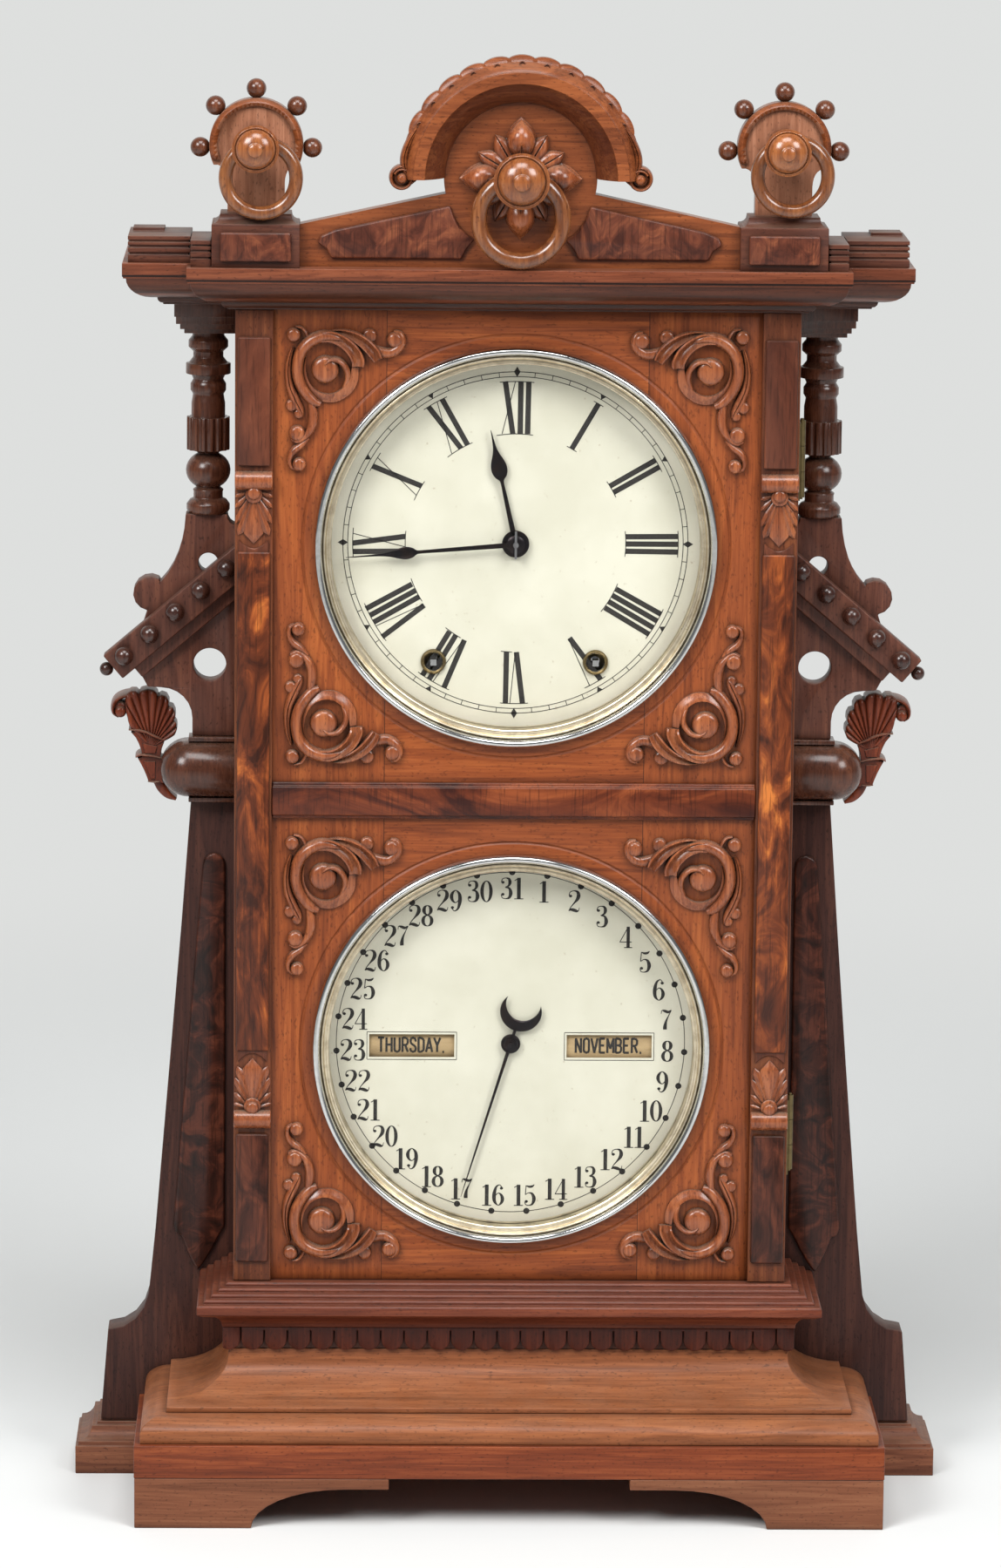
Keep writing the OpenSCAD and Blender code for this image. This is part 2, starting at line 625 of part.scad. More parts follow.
module hour_hand() color(black) slab_at(0, z_time, f_hour, f_hour + 1) rotate(hour_angle) difference() {
    union() {
        circle(r = 7.4);
        polygon(concat([[-2.2, 0], [2.2, 0]], [[1.6, 30]], arc([0, 40], 4.2, 7.5, -60, 60, 6),
            [[0.5, 62], [-0.5, 62]], arc([0, 40], 4.2, 7.5, 120, 240, 6), [[-1.6, 30]]));
    }
    circle(r = pipe_r + hand_fit);
}
module minute_hand() color(black) {
    slab_at(0, z_time, f_minute, f_minute + 0.8) rotate(minute_angle) difference() {
        union() {
            circle(r = 4.6);
            polygon(concat([[-1.8, 0], [1.8, 0]], [[1.3, 52]], arc([0, 62], 3.9, 7, -60, 60, 6),
                [[0.5, 92.5], [-0.5, 92.5]], arc([0, 62], 3.9, 7, 120, 240, 6), [[-1.3, 52]]));
        }
        circle(r = arbor_r + hand_fit);
    }
    turned(0, z_time, f_minute + 0.8, [[arbor_r + fit, 0], [5, 0], [3.6, 1], [arbor_r + fit, 1]]);
}
f_rear_plate = -12;
plate_t = 2;
f_front_plate = f_rear_plate + plate_t + plate_gap;
f_motion = f_front_plate + plate_t + 0.5;
module centre_arbor() color(brass) {
    post(0, z_time, f_rear_plate - 1, f_minute + 3.4, arbor_r);
    box(-0.6, 0.6, f_minute + 1.9, f_minute + 3, z_time - 7.5, z_time + 7.5);
    wheel(0, z_time, -1, 0.5, 48, 24.1, arbor_r - 0.2);
    slab_at(0, z_time, -5.6, -3) difference() {
        teeth(8, 4, 1);
        circle(r = arbor_r - 0.2);
    }
}
module hour_wheel() color(brass) {
    h = f_hour + 1 - f_motion;
    turned(0, z_time, f_motion, [[arbor_r + fit, 0], [pipe_r, 0], [pipe_r, h], [arbor_r + fit, h]]);
    wheel(0, z_time, f_motion + 1, f_motion + 2.5, 48, 18, pipe_r - 0.2);
}

// Movement

pillar_x = 66.5;
plate_low = z_time - 102;
plate_high = z_time + 52;
pivot_z = z_time + 57.5;
verge_z = z_time + 44.5;
hammer_x = -12;
hammer_z = z_time - 76.5;
second_x = wind_x * 0.5108;
second_z = z_time - wind_drop * 0.5108;
escape_z = z_time + 27.5;
module plate(f) {
    slab(f, f + plate_t) difference() {
        translate([-pillar_x - 6, plate_low]) square([2 * pillar_x + 12, plate_high - plate_low]);
        for (s = [-1, 1]) translate([s * wind_x, z_time - wind_drop]) circle(r = wind_r + fit);
        translate([0, z_time]) circle(r = arbor_r + fit);
        translate([second_x, second_z]) circle(r = 1.2 + fit);
        translate([0, escape_z]) circle(r = 1 + fit);
        translate([0, verge_z]) circle(r = 1 + fit);
        translate([hammer_x, hammer_z]) circle(r = 2 + fit);
    }
}
module movement_frame() color(brass) {
    plate(f_rear_plate);
    plate(f_front_plate);
    for (x = [-pillar_x, pillar_x]) for (z = [pillar_low, plate_high - 8]) {
        post(x, z, f_rear_plate + plate_t, f_front_plate, 3);
        post(x, z, f_panel, f_rear_plate, 4);
        post(x, z, f_front_plate + plate_t, f_dial - board_t, 3);
    }
    post(0, pivot_z, f_rear_plate - 13, f_rear_plate, 2.4);
    box(-6, 6, f_rear_plate, f_rear_plate + plate_t, plate_high, pivot_z + 4);
    difference() {
        box(lift_x - 3.4, lift_x + 3.4, f_lift - 2.6, f_rear_plate, plate_low, plate_low + 4);
        translate([lift_x, fy(f_lift), plate_low - 1]) cylinder(r = lift_r + fit, h = 6);
    }
}
pillar_low = plate_low + 7.5;
// Each spring's outer end is looped round a lower pillar
module mainsprings() color(steel) pair() slab_at(wind_x, z_time - wind_drop, 1, 16) {
    to = [pillar_x - wind_x, pillar_low - z_time + wind_drop];
    difference() {
        circle(r = 27.5);
        circle(r = 8);
    }
    difference() {
        union() {
            rotate(atan2(to[1], to[0])) translate([26.5, -1]) square([norm(to) - 30, 2]);
            translate(to) circle(r = 4.2);
        }
        translate(to) circle(r = 3 + fit);
    }
}
module winding_arbor(s) {
    x = s * wind_x;
    z = z_time - wind_drop;
    side = wind_r * 1.4;
    post(x, z, f_rear_plate - 1, f_dial - 4, wind_r);
    box(x - side / 2, x + side / 2, f_dial - 4, f_dial + 5, z - side / 2, z + side / 2);
    slab_at(x, z, f_rear_plate + plate_t + 0.6, f_rear_plate + plate_t + 1.8) difference() {
        teeth(24, 12, 1.6);
        circle(r = wind_r - 0.2);
    }
}
module time_winding_arbor() color(steel) winding_arbor(1);
module strike_winding_arbor() color(steel) winding_arbor(-1);
module time_main_wheel() color(brass)
    wheel(wind_x, z_time - wind_drop, -7.8, -6, 66, 33, wind_r + fit);
module second_wheel() color(brass) {
    post(second_x, second_z, f_rear_plate - 0.5, f_front_plate + plate_t + 0.5, 1.2);
    wheel(second_x, second_z, -5, -3.6, 72, 35.5, 1);
    slab_at(second_x, second_z, -8, -5.6) difference() {
        teeth(10, 5, 1.2);
        circle(r = 1);
    }
}
module escape_wheel() color(brass) {
    post(0, escape_z, f_rear_plate - 0.5, f_front_plate + plate_t + 0.5, 1);
    wheel(0, escape_z, 6, 7.2, 30, 13, 0.8);
    slab_at(0, escape_z, -1.6, 1) difference() {
        teeth(6, 3, 0.9);
        circle(r = 0.8);
    }
}
module verge() color(steel) {
    f_crutch = f_swing + 2.4;
    reach = 60;
    post(0, verge_z, f_crutch, f_front_plate + plate_t + 0.5, 1);
    slab_at(0, verge_z, 5.6, 7.6) difference() {
        union() {
            polygon([[-13, -4], [-11.5, -6], [-4, 2], [4, 2], [12.5, -8.5], [14, -7], [5, 4.5], [-5, 4.5]]);
            circle(r = 3.2);
        }
        circle(r = 0.8);
    }
    slab_at(0, verge_z, f_crutch, f_crutch + 1.2) difference() {
        translate([-2, -reach]) square([4, reach + 2]);
        circle(r = 0.8);
    }
    for (s = [-1, 1]) box(s * 1.6 - 0.6, s * 1.6 + 0.6, f_swing - 2, f_crutch, verge_z - reach, verge_z - reach + 5);
}
f_swing = f_rear_plate - 10;
module pendulum() color(brass) {
    z_bob = pivot_z - pendulum_len;
    turned(0, pivot_z, f_swing - 1, [[2.45, 0], [3.6, 0], [3.6, 2], [2.45, 2]]);
    translate([0, fy(f_swing), z_bob + bob_r - 3]) cylinder(r = 0.9, h = pendulum_len - bob_r + 0.1);
    turned(0, z_bob, f_swing - 6, concat([[0, 0]], arc([bob_r - 5, 6], 5, 6, -90, 90, 7), [[0, 12]]));
    translate([0, fy(f_swing), z_bob - bob_r - 8]) cylinder(r = 1.5, h = 10);
}
gong_r = 44;
gong_z = z_time - 142.5;
f_gong = f_panel + 4.6;
gong_pitch = 5;
gong_wire = 1.2;
// The gong's wire is a run of half turns, each a little tighter than the one before
module gong() color(steel) {
    halves = 8;
    start = gong_r - gong_wire;
    inner_r = start - halves * gong_pitch / 2;
    translate([0, fy(f_gong), gong_z]) rotate([90, -40, 0]) {
        for (i = [0:halves - 1]) translate([i % 2 == 0 ? 0 : -gong_pitch / 2, 0, 0])
            rotate([0, 0, 180 * (i % 2)]) rotate_extrude(angle = 180)
                translate([start - i * gong_pitch / 2, 0]) circle(r = gong_wire);
        translate([inner_r, 0, -4.6]) cylinder(r = 2, h = 6.6);
    }
}
module hammer() color(brass) {
    f_arm = f_gong + 0.4;
    dx = 35;
    dz = -22;
    post(hammer_x, hammer_z, f_arm - 1.6, f_front_plate + plate_t + 0.5, 2);
    slab_at(hammer_x, hammer_z, f_arm - 0.8, f_arm + 0.8) rotate(atan2(dz, dx)) difference() {
        translate([-4, -2.6]) square([norm([dx, dz]), 5.2]);
        circle(r = 1.8);
    }
    translate([hammer_x + dx, fy(f_arm), hammer_z + dz]) sphere(r = 4.4);
}

// Calendar work

cheek_x = [win_x - window_w / 2 - 4.2, win_x + window_w / 2 + 2.2];
f_cal_plate = -18;
lift_r = 1.2;
lift_x = -12;
f_lift = -13.5;
module lift_guide(z, f0) difference() {
    box(lift_x - 3.4, lift_x + 3.4, f0, f_lift + 2.6, z, z + 4);
    translate([lift_x, fy(f_lift), z - 1]) cylinder(r = lift_r + fit, h = 6);
}
module calendar_frame() color(steel) {
    slab(f_cal_plate, f_cal_plate + 2) difference() {
        translate([-cheek_x[1] - 2, z_cal - 33]) square([2 * cheek_x[1] + 4, 60]);
        translate([0, z_cal]) circle(r = arbor_r + fit);
    }
    for (s = [-1, 1]) for (c = [0, 1]) {
        cf = s < 0 ? day_f : month_f;
        x0 = s < 0 ? -cheek_x[c] - 2 : cheek_x[c];
        difference() {
            box(x0, x0 + 2, f_cal_plate + 2, f_dial - board_t, z_cal - 12, z_cal + 12);
            translate([x0 - 1, fy(cf), z_cal + win_z]) rotate([0, 90, 0])
                cylinder(r = 2 + fit, h = 4);
        }
    }
    for (z = [z_cal - 33, z_cal + 24]) box(-3, 3, f_panel, f_cal_plate, z, z + 3);
    difference() {
        box(-cheek_x[0], cheek_x[0], 30, 32, z_cal - 8, z_cal + 8);
        post(0, z_cal, 29, 33, arbor_r + fit);
    }
    lift_guide(z_cal + 18, f_cal_plate + 2);
}
module roller(s, r, f, n) {
    w = window_w + 4;
    translate([s * win_x - w / 2, fy(f), z_cal + win_z]) rotate([0, 90, 0]) cylinder(r = r, h = w);
    translate([s < 0 ? -cheek_x[1] - 2.5 : cheek_x[0] - 0.5, fy(f), z_cal + win_z]) rotate([0, 90, 0])
        cylinder(r = 2, h = cheek_x[1] - cheek_x[0] + 3);
}
module day_roller() color(cream) roller(-1, day_r, day_f);
module month_roller() color(cream) roller(1, month_r, month_f);
f_date = f_dial + 3;
module date_hand() color(black) {
    post(0, z_cal, f_cal_plate - 1, f_date + 3.4, arbor_r);
    slab_at(0, z_cal, f_date, f_date + 1) rotate(date_angle) {
        difference() {
            circle(r = 5.3);
            circle(r = arbor_r - 0.2);
        }
        polygon([[-1.6, 4.8], [1.6, 4.8], [0.5, 88], [-0.5, 88]]);
        difference() {
            translate([0, -19]) circle(r = 11.2);
            translate([0, -23.5]) circle(r = 9.6);
        }
        translate([-0.8, -10]) square([1.6, 6]);
    }
    post(0, z_cal, f_date + 1, f_date + 2.4, 3.6);
    slab_at(0, z_cal, 20, 21.6) difference() {
        teeth(31, 22, 2);
        circle(r = arbor_r - 0.2);
    }
}
module calendar_lift_rod() color(steel) {
    translate([lift_x, fy(f_lift), z_cal + 8]) cylinder(r = lift_r, h = plate_low - z_cal);
    box(lift_x - 2, lift_x + 2, f_lift - 2, f_lift + 2, z_cal + 5, z_cal + 8);
}

// Hinges

hinge_x = half + 2.4;
leaf_h = 42;
hinge_zs = [z_door + 60, z_door + door_h - 102];
knuckle_r = 2;
module knuckle(z0, z1) {
    translate([hinge_x, fy(f_door), z0]) difference() {
        cylinder(r = knuckle_r, h = z1 - z0);
        translate([0, 0, -1]) cylinder(r = 1 + fit, h = z1 - z0 + 2);
    }
}
module hinge_case_leaves() color(brass) for (z = hinge_zs) {
    box(half, half + 1, f_door - 18, f_door - 1.5, z, z + leaf_h);
    for (q = [0, 28.2]) {
        knuckle(z + q, z + q + 13.8);
        box(half + 0.4, half + 1.2, f_door - 2, f_door - 1.2, z + q, z + q + 13.8);
    }
    translate([hinge_x, fy(f_door), z - 1]) cylinder(r = 1, h = leaf_h + 2);
}
module hinge_door_leaves() color(brass) for (z = hinge_zs) {
    box(half, half + 1, f_door + 1.5, f_face, z, z + leaf_h);
    knuckle(z + 14.1, z + 27.9);
    box(half + 0.4, half + 1.2, f_door + 1.2, f_door + 2, z + 14.1, z + 27.9);
}

// Door

field_x = half - 20.4;
open_r = bezel_r - 7.2;
seat_r = open_r - 2.4;
f_stile = f_face + 4;
centres = [z_time, z_cal];
module door_frame() color(walnut_red) difference() {
    box(-half, half, f_door, f_face, z_door, z_top);
    for (z = centres) {
        post(0, z, f_door - 1, f_face + 1, open_r);
        turned(0, z, f_face, [[bezel_r + 5, 0.1], [bezel_r + 6.1, -1], [bezel_r + 7.2, 0.1]]);
    }
}
module door_stiles() color(walnut) pair() slab(f_face, f_stile)
    translate([field_x, z_door]) square([half - field_x, door_h]);
stile_mid = (field_x + half) / 2;
stile_hw = (half - field_x) / 2 - 1.4;
shell_h = 30.5;
roll_z = [z_top - 92.2, z_door + 91.3];
module stile_panel(z0, z1) {
    box(stile_mid - stile_hw, stile_mid + stile_hw, f_stile, f_stile + 2.4, z0, z1);
}
module stile_panels() color(burl) pair() {
    stile_panel(roll_z[0] + 8, z_top - 14.5);
    stile_panel(roll_z[1] + 8 + shell_h, roll_z[0] - 8 - shell_h);
    stile_panel(z_door + 11, roll_z[1] - 8);
}
module stile_carvings() color(walnut_red) {
    pair() {
        for (z = roll_z) {
            translate([field_x, fy(f_stile), z]) intersection() {
                rotate([0, 90, 0]) cylinder(r = 5.2, h = half - field_x);
                translate([-1, -6, -6]) cube([half - field_x + 2, 6, 12]);
            }
        }
        box(field_x, half, f_stile, f_stile + 3, z_door, z_door + 9);
        box(field_x, half, f_stile, f_stile + 2, z_top - 12, z_top);
        slab_at(stile_mid, roll_z[0] - 7, f_stile, f_stile + 2.8) shell_cut();
        slab_at(stile_mid, roll_z[1] + 7, f_stile, f_stile + 2.8) mirror([0, 1]) shell_cut();
    }
}
module shell_blades() {
    for (a = [-64:16:64]) rotate(a) polygon([[0, 0], [2.9, -20 + abs(a) / 7], [0, -26 + abs(a) / 5],
        [-2.9, -20 + abs(a) / 7]]);
    circle(r = 5.4);
}
module shell_cut() {
    intersection() {
        shell_blades();
        translate([-stile_hw - 0.6, 1 - shell_h]) square([2 * stile_hw + 1.2, shell_h]);
    }
}
module door_mid_rail() color(burl) {
    z = (z_time + z_cal) / 2;
    slab(f_face, f_face + 5) translate([-field_x, z - 8]) square([2 * field_x, 16]);
    slab(f_face, f_face + 3) translate([-field_x, z - 10]) square([2 * field_x, 20]);
}
// One corner scroll for the upper left corner: x from the stile's inner edge, z from the dial's centre
module scroll_outline() {
    c = [29.1, 96.5];
    translate(c) difference() {
        circle(r = 18.6);
        circle(r = 13.4);
    }
    translate(c + [2.4, -3]) circle(r = 10.8);
    translate([11.1, 114.3]) circle(r = 4.2);
    translate([51.4, 114]) circle(r = 3.8);
    translate([65.3, 111.6]) circle(r = 5.6);
    translate([13.1, 60.9]) circle(r = 5.2);
    translate([13.5, 46.4]) circle(r = 4.8);
    polygon(concat(bend([13.1, 105], [28.1, 121], [45.1, 112]), bend([45.1, 112], [53.1, 108], [56.1, 100.5]),
        [[51.1, 98], [44.1, 100]]));
    polygon(concat(bend([55.1, 108], [61.1, 99], [70.6, 109]), [[65.1, 107], [57.1, 112]]));
    polygon(concat(bend([9.6, 108], [7.6, 85], [23.1, 60]), bend([23.1, 60], [25.1, 50], [13.1, 41.6]),
        bend([10.1, 47], [19.1, 52], [16.1, 60]), bend([16.1, 66], [9.1, 72], [8.1, 84], 4)));
    polygon([[15.1, 84], [24.1, 78.4], [36.1, 79.4], [45.1, 86], [40.1, 80], [30.1, 74.5], [21.1, 74]]);
}
module corner_carvings() color(walnut_red) slab(f_face, f_face + 5)
    for (z = centres) translate([0, z]) pair() translate([-field_x, 0]) {
        scroll_outline();
        mirror([0, 1]) scroll_outline();
    }
glass_f = f_face - 4.6;
module dial_bezels() color(steel) for (z = centres) turned(0, z, 0, concat(
    [[open_r - fit, f_door + 4], [open_r - fit, f_face], [bezel_r, f_face]],
    arc([bezel_r - 2.4, f_face + 2.4], 2.4, 4.2, 0, 130, 8),
    [[bezel_r - 4.8, f_face + 4.6], [seat_r + 0.6, f_face + 2], [seat_r, f_face + 1.2], [seat_r, glass_f],
        [open_r - 1, glass_f], [open_r - 1, glass_f - glass_t], [seat_r, glass_f - glass_t],
        [seat_r, f_door + 4]]));
module dial_glasses() color([0.8, 0.9, 0.9, 0.3]) for (z = centres)
    post(0, z, glass_f - glass_t, glass_f, open_r - 1 - fit);

bracket_feet();
plinth_frame();
base_moulding();
scalloped_apron();
sill_moulding();
case_boards();
back_panel();
rear_plinth();
wing_boards();
veneer_panels();
bracket_boards();
rake_rails();
ball_studs();
bolsters();
palmettes();
columns();
cornice();
parapet_blocks();
pediment_board();
crest_hood();
rosette();
ring_knobs();
finial_blocks();
finial_boards();
dial_board();
time_dial();
calendar_dial();
movement_frame();
mainsprings();
gong();
calendar_frame();
hinge_case_leaves();
centre_ring();
left_ring();
right_ring();
door_frame();
door_stiles();
stile_panels();
stile_carvings();
door_mid_rail();
corner_carvings();
dial_bezels();
dial_glasses();
hinge_door_leaves();
minute_hand();
centre_arbor();
hour_hand();
hour_wheel();
time_winding_arbor();
strike_winding_arbor();
time_main_wheel();
second_wheel();
escape_wheel();
verge();
pendulum();
hammer();
date_hand();
day_roller();
month_roller();
calendar_lift_rod();
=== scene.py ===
# %% [markdown]
# # A carved calendar shelf clock
# The real clock is a walnut case with two dials on one hinged door. Its boards, wheels and hinges
# come packed from the solid model. This lesson dresses them: wood, paint, nickel and glass, and the
# turned and carved work that a plain solid only hints at.

# %% Load the fixed frame
import json
import math

import bmesh
import bpy
import numpy as np
from mathutils import Matrix, Vector

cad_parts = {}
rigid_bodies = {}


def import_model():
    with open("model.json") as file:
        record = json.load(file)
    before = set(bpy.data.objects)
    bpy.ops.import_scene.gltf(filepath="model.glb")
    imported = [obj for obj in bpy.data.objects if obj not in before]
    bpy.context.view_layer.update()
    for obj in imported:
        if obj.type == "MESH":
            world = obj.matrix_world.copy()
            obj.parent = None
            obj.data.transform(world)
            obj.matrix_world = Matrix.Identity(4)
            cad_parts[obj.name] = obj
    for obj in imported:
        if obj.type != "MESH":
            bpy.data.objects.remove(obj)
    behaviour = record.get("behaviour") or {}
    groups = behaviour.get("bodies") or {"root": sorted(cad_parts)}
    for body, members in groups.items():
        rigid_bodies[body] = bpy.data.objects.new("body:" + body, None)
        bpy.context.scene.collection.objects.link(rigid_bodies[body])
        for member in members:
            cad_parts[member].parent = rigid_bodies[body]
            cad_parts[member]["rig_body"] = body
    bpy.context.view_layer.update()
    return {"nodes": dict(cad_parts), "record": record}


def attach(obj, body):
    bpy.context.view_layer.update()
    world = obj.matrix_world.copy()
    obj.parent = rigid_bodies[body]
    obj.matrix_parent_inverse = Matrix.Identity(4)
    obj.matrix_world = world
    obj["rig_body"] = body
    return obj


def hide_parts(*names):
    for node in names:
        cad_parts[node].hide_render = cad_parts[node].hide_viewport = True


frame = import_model()

# %% [markdown]
# Depths on this clock are measured forwards from the wing boards' front face, because that is where
# the maker's square would sit. One function turns x, depth and height in millimetres into points in
# metres, so every later step can talk in the clock's own measures.

# %% Millimetres to points
MM = 0.001
WALL = 34.0
Z_CROWN, Z_TIME, Z_CAL = 685.8, 532.8, 255.5
Z_DISC = Z_CROWN + 47.9
FINIAL_X, FINIAL_UP = 140.4, 64
F_FACE, F_STILE, F_SHEET = 58.0, 62.0, 42.0


def spot(x, f, z):
    """Points from arrays in millimetres: x to the right, y = 34 less the depth f, z up."""
    x, f, z = np.broadcast_arrays(np.asarray(x, float), np.asarray(f, float), np.asarray(z, float))
    return np.stack([x, WALL - f, z], -1) * MM


slot_of = {s["node"]: s["material_slot"] for s in frame["record"]["subparts"]}
body_of = {n: o["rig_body"] for n, o in frame["nodes"].items()}

# %% [markdown]
# ## Tools for meshes
# A grid of points with two parameters becomes quads by one rule, whatever the shape. The same rule
# closes a turned piece on itself or leaves a strip open, so all later surfaces share it.


# %% Grids, lathes and ribbons
def quads(nu, nv, wrap_u=False, wrap_v=False):
    """Faces of an nu by nv grid: corner (i, j) joins (i+1, j), (i+1, j+1) and (i, j+1)."""
    i, j = np.meshgrid(np.arange(nu if wrap_u else nu - 1), np.arange(nv if wrap_v else nv - 1),
                       indexing="ij")
    i1, j1 = (i + 1) % nu, (j + 1) % nv
    return np.stack([i * nv + j, i1 * nv + j, i1 * nv + j1, i * nv + j1], -1).reshape(-1, 4)


def grid(points, wrap_u=False, wrap_v=False):
    """A block of points, nu by nv by 3, as one shell: the points in a row, and their quads."""
    return points.reshape(-1, 3), quads(*points.shape[:2], wrap_u, wrap_v)


def lathe(profile, x, z, f, turns=72):
    """A piece turned about an axis facing the front: (r, t) becomes x + r cos a, f + t, z + r sin a."""
    r, t = np.asarray(profile, float).T
    a = np.radians(360.0 * np.arange(turns) / turns)[:, None]
    return grid(spot(x + r * np.cos(a), f + t + 0 * a, z + r * np.sin(a)), wrap_u=True)


def normals_2d(path, closed=False):
    """Unit vectors square to a path in a plane: the tangent by central differences, turned left."""
    d = (np.roll(path, -1, 0) - np.roll(path, 1, 0)) if closed else np.gradient(path, axis=0)
    d = d / np.maximum(np.linalg.norm(d, axis=1, keepdims=True), 1e-9)
    return np.stack([-d[:, 1], d[:, 0]], -1)


def ribbon(path, half, low, high, closed=False):
    """A flat stroke: each point of the path spreads by half either way along the path's normal."""
    path, half = np.asarray(path, float), np.asarray(half, float).reshape(-1, 1)
    side = normals_2d(path, closed) * half
    section = [(path + side, high), (path - side, high), (path - side, low), (path + side, low)]
    rim = np.stack([np.column_stack([p, np.full(len(p), t)]) for p, t in section], 1)
    faces = quads(len(path), 4, wrap_u=closed, wrap_v=True)
    if not closed:
        last = 4 * (len(path) - 1)
        faces = np.vstack([faces, [[0, 1, 2, 3], [last + 3, last + 2, last + 1, last]]])
    return rim.reshape(-1, 3), faces


def smooth(points, steps=6):
    """A Catmull-Rom curve through rows of any width, as one array product per weight."""
    p = np.asarray(points, float)
    q = np.vstack([2 * p[0] - p[1], p, 2 * p[-1] - p[-2]])
    n = len(p) - 1
    t = (np.arange(steps) / steps)[None, :, None]
    a, b, c, d = (q[k:k + n, None, :] for k in range(4))
    curve = 0.5 * (2 * b + (c - a) * t + (2 * a - 5 * b + 4 * c - d) * t**2 + (3 * b - a - 3 * c + d) * t**3)
    return np.vstack([curve.reshape(-1, p.shape[1]), p[-1:]])


def arc(cx, cy, rx, ry, a0, a1, n=12):
    """Points round an ellipse from angle a0 to a1 in degrees."""
    a = np.radians(np.linspace(a0, a1, n + 1))
    return np.column_stack([cx + rx * np.cos(a), cy + ry * np.sin(a)])


# %% [markdown]
# Several shells often make one piece, as several strokes make one carving. They are joined, their
# doubled points are welded, and the normals are turned outwards before any shading is set. Edges
# sharper than a chosen angle stay crisp, and the rest is smooth.


# %% Joining shells into a piece
def show(thing):
    bpy.context.scene.collection.objects.link(thing)
    return thing


def settle(name, mesh, finish, body, stands_for=(), sharp=35.0, slot=None):
    """Welds, turns the faces outwards, keeps edges over the sharp angle crisp, and rides on a body."""
    bm = bmesh.new()
    bm.from_mesh(mesh)
    bmesh.ops.remove_doubles(bm, verts=bm.verts, dist=2e-6)
    bmesh.ops.dissolve_degenerate(bm, edges=bm.edges, dist=1e-7)
    bmesh.ops.recalc_face_normals(bm, faces=bm.faces)
    bm.to_mesh(mesh)
    bm.free()
    mesh.shade_smooth()
    mesh.set_sharp_from_angle(angle=math.radians(sharp))
    piece = show(bpy.data.objects.new(name, mesh))
    mesh.materials.clear()
    mesh.materials.append(finish)
    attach(piece, body)
    if stands_for:
        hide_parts(*stands_for)
        slot = slot or slot_of[stands_for[0]]
    return piece


def build(name, shells, finish, body, stands_for=(), sharp=35.0, slot=None):
    """One object at the origin from several shells of points and quads."""
    counts = np.cumsum([0] + [len(p) for p, _ in shells[:-1]])
    points = np.concatenate([p for p, _ in shells])
    faces = np.concatenate([f + c for (_, f), c in zip(shells, counts)])
    mesh = bpy.data.meshes.new(name)
    mesh.from_pydata(points.tolist(), [], faces.tolist())
    return settle(name, mesh, finish, body, stands_for, sharp, slot)


# %% [markdown]
# ## Wood, by rules instead of pictures
# Walnut has slow growth bands, fine fibres and short dark pores, all drawn out along the grain. Noise
# read through a squeezed mapping gives each of them. Corners get dirt and painted shade, which an
# ambient occlusion node can find, and dust that doubles as a painted sheen lies on whatever faces up.


# %% A small kit for node trees
class Finish:
    """A principled material whose inputs are set plainly, with short calls for each kind of node."""

    def __init__(self, name, **sockets):
        self.material = bpy.data.materials.new(name)
        self.material.use_nodes = True
        self.tree = self.material.node_tree
        self.tree.nodes.clear()
        self.surface = self.add("BsdfPrincipled")
        output = self.add("OutputMaterial")
        self.tree.links.new(self.surface.outputs[0], output.inputs[0])
        self.place = self.add("TexCoord").outputs["Object"]
        for key, value in sockets.items():
            self.set(key.replace("_", " "), value)

    def add(self, kind, inputs=(), **settings):
        node = self.tree.nodes.new("ShaderNode" + kind)
        for key, value in settings.items():
            setattr(node, key, value)
        for key, value in dict(inputs).items():
            self.put(node.inputs[key], value)
        return node

    def put(self, socket, value):
        if isinstance(value, bpy.types.NodeSocket):
            self.tree.links.new(value, socket)
        else:
            socket.default_value = value

    def set(self, key, value):
        self.put(self.surface.inputs[key], value if not isinstance(value, tuple) else (*value, 1.0))

    def math(self, kind, a, b=0.0, c=0.0, clamp=False):
        return self.add("Math", {0: a, 1: b, 2: c}, operation=kind, use_clamp=clamp).outputs[0]

    def along(self, scale, turn=(0, 0, 0), shift=(0, 0, 0)):
        return self.add("Mapping", {"Vector": self.place, "Scale": scale, "Rotation": turn,
                                    "Location": shift}).outputs[0]

    def noise(self, vector, scale, detail=3.0, rough=0.55, warp=0.0):
        return self.add("TexNoise", {"Vector": vector, "Scale": scale, "Detail": detail, "Roughness": rough,
                                     "Distortion": warp}).outputs[0]

    def ramp(self, value, *stops):
        node = self.add("ValToRGB", {0: value})
        band = node.color_ramp
        while len(band.elements) < len(stops):
            band.elements.new(0.5)
        for element, (at, colour) in zip(band.elements, stops):
            element.position = at
            element.color = (*colour, 1.0) if isinstance(colour, tuple) else (colour, colour, colour, 1.0)
        return node.outputs[0]

    def mix(self, share, a, b, kind="MIX"):
        node = self.add("Mix", data_type="RGBA", blend_type=kind)
        for key, value in ((0, share), (6, a), (7, b)):
            self.put(node.inputs[key], (*value, 1.0) if isinstance(value, tuple) else value)
        return node.outputs[2]

    def bump(self, height, strength, distance):
        node = self.add("Bump", {"Height": height, "Strength": strength, "Distance": distance})
        self.put(self.surface.inputs["Normal"], node.outputs[0])


# %% [markdown]
# The same function makes every plain walnut on the clock. It takes the dark and light ends of the
# colour, which way the grain runs, how much polish is left, how much dirt and painted shade gather in
# hollows, and how much dust and painted sheen lies on top.

# %% Walnut
SQUEEZE = {"X": (0.05, 1.0, 1.0), "Y": (1.0, 0.05, 1.0), "Z": (1.0, 1.0, 0.05)}
DUST_SHEEN_TONE, SOOT_AND_SHADE = (0.36, 0.29, 0.22), (0.016, 0.008, 0.006)


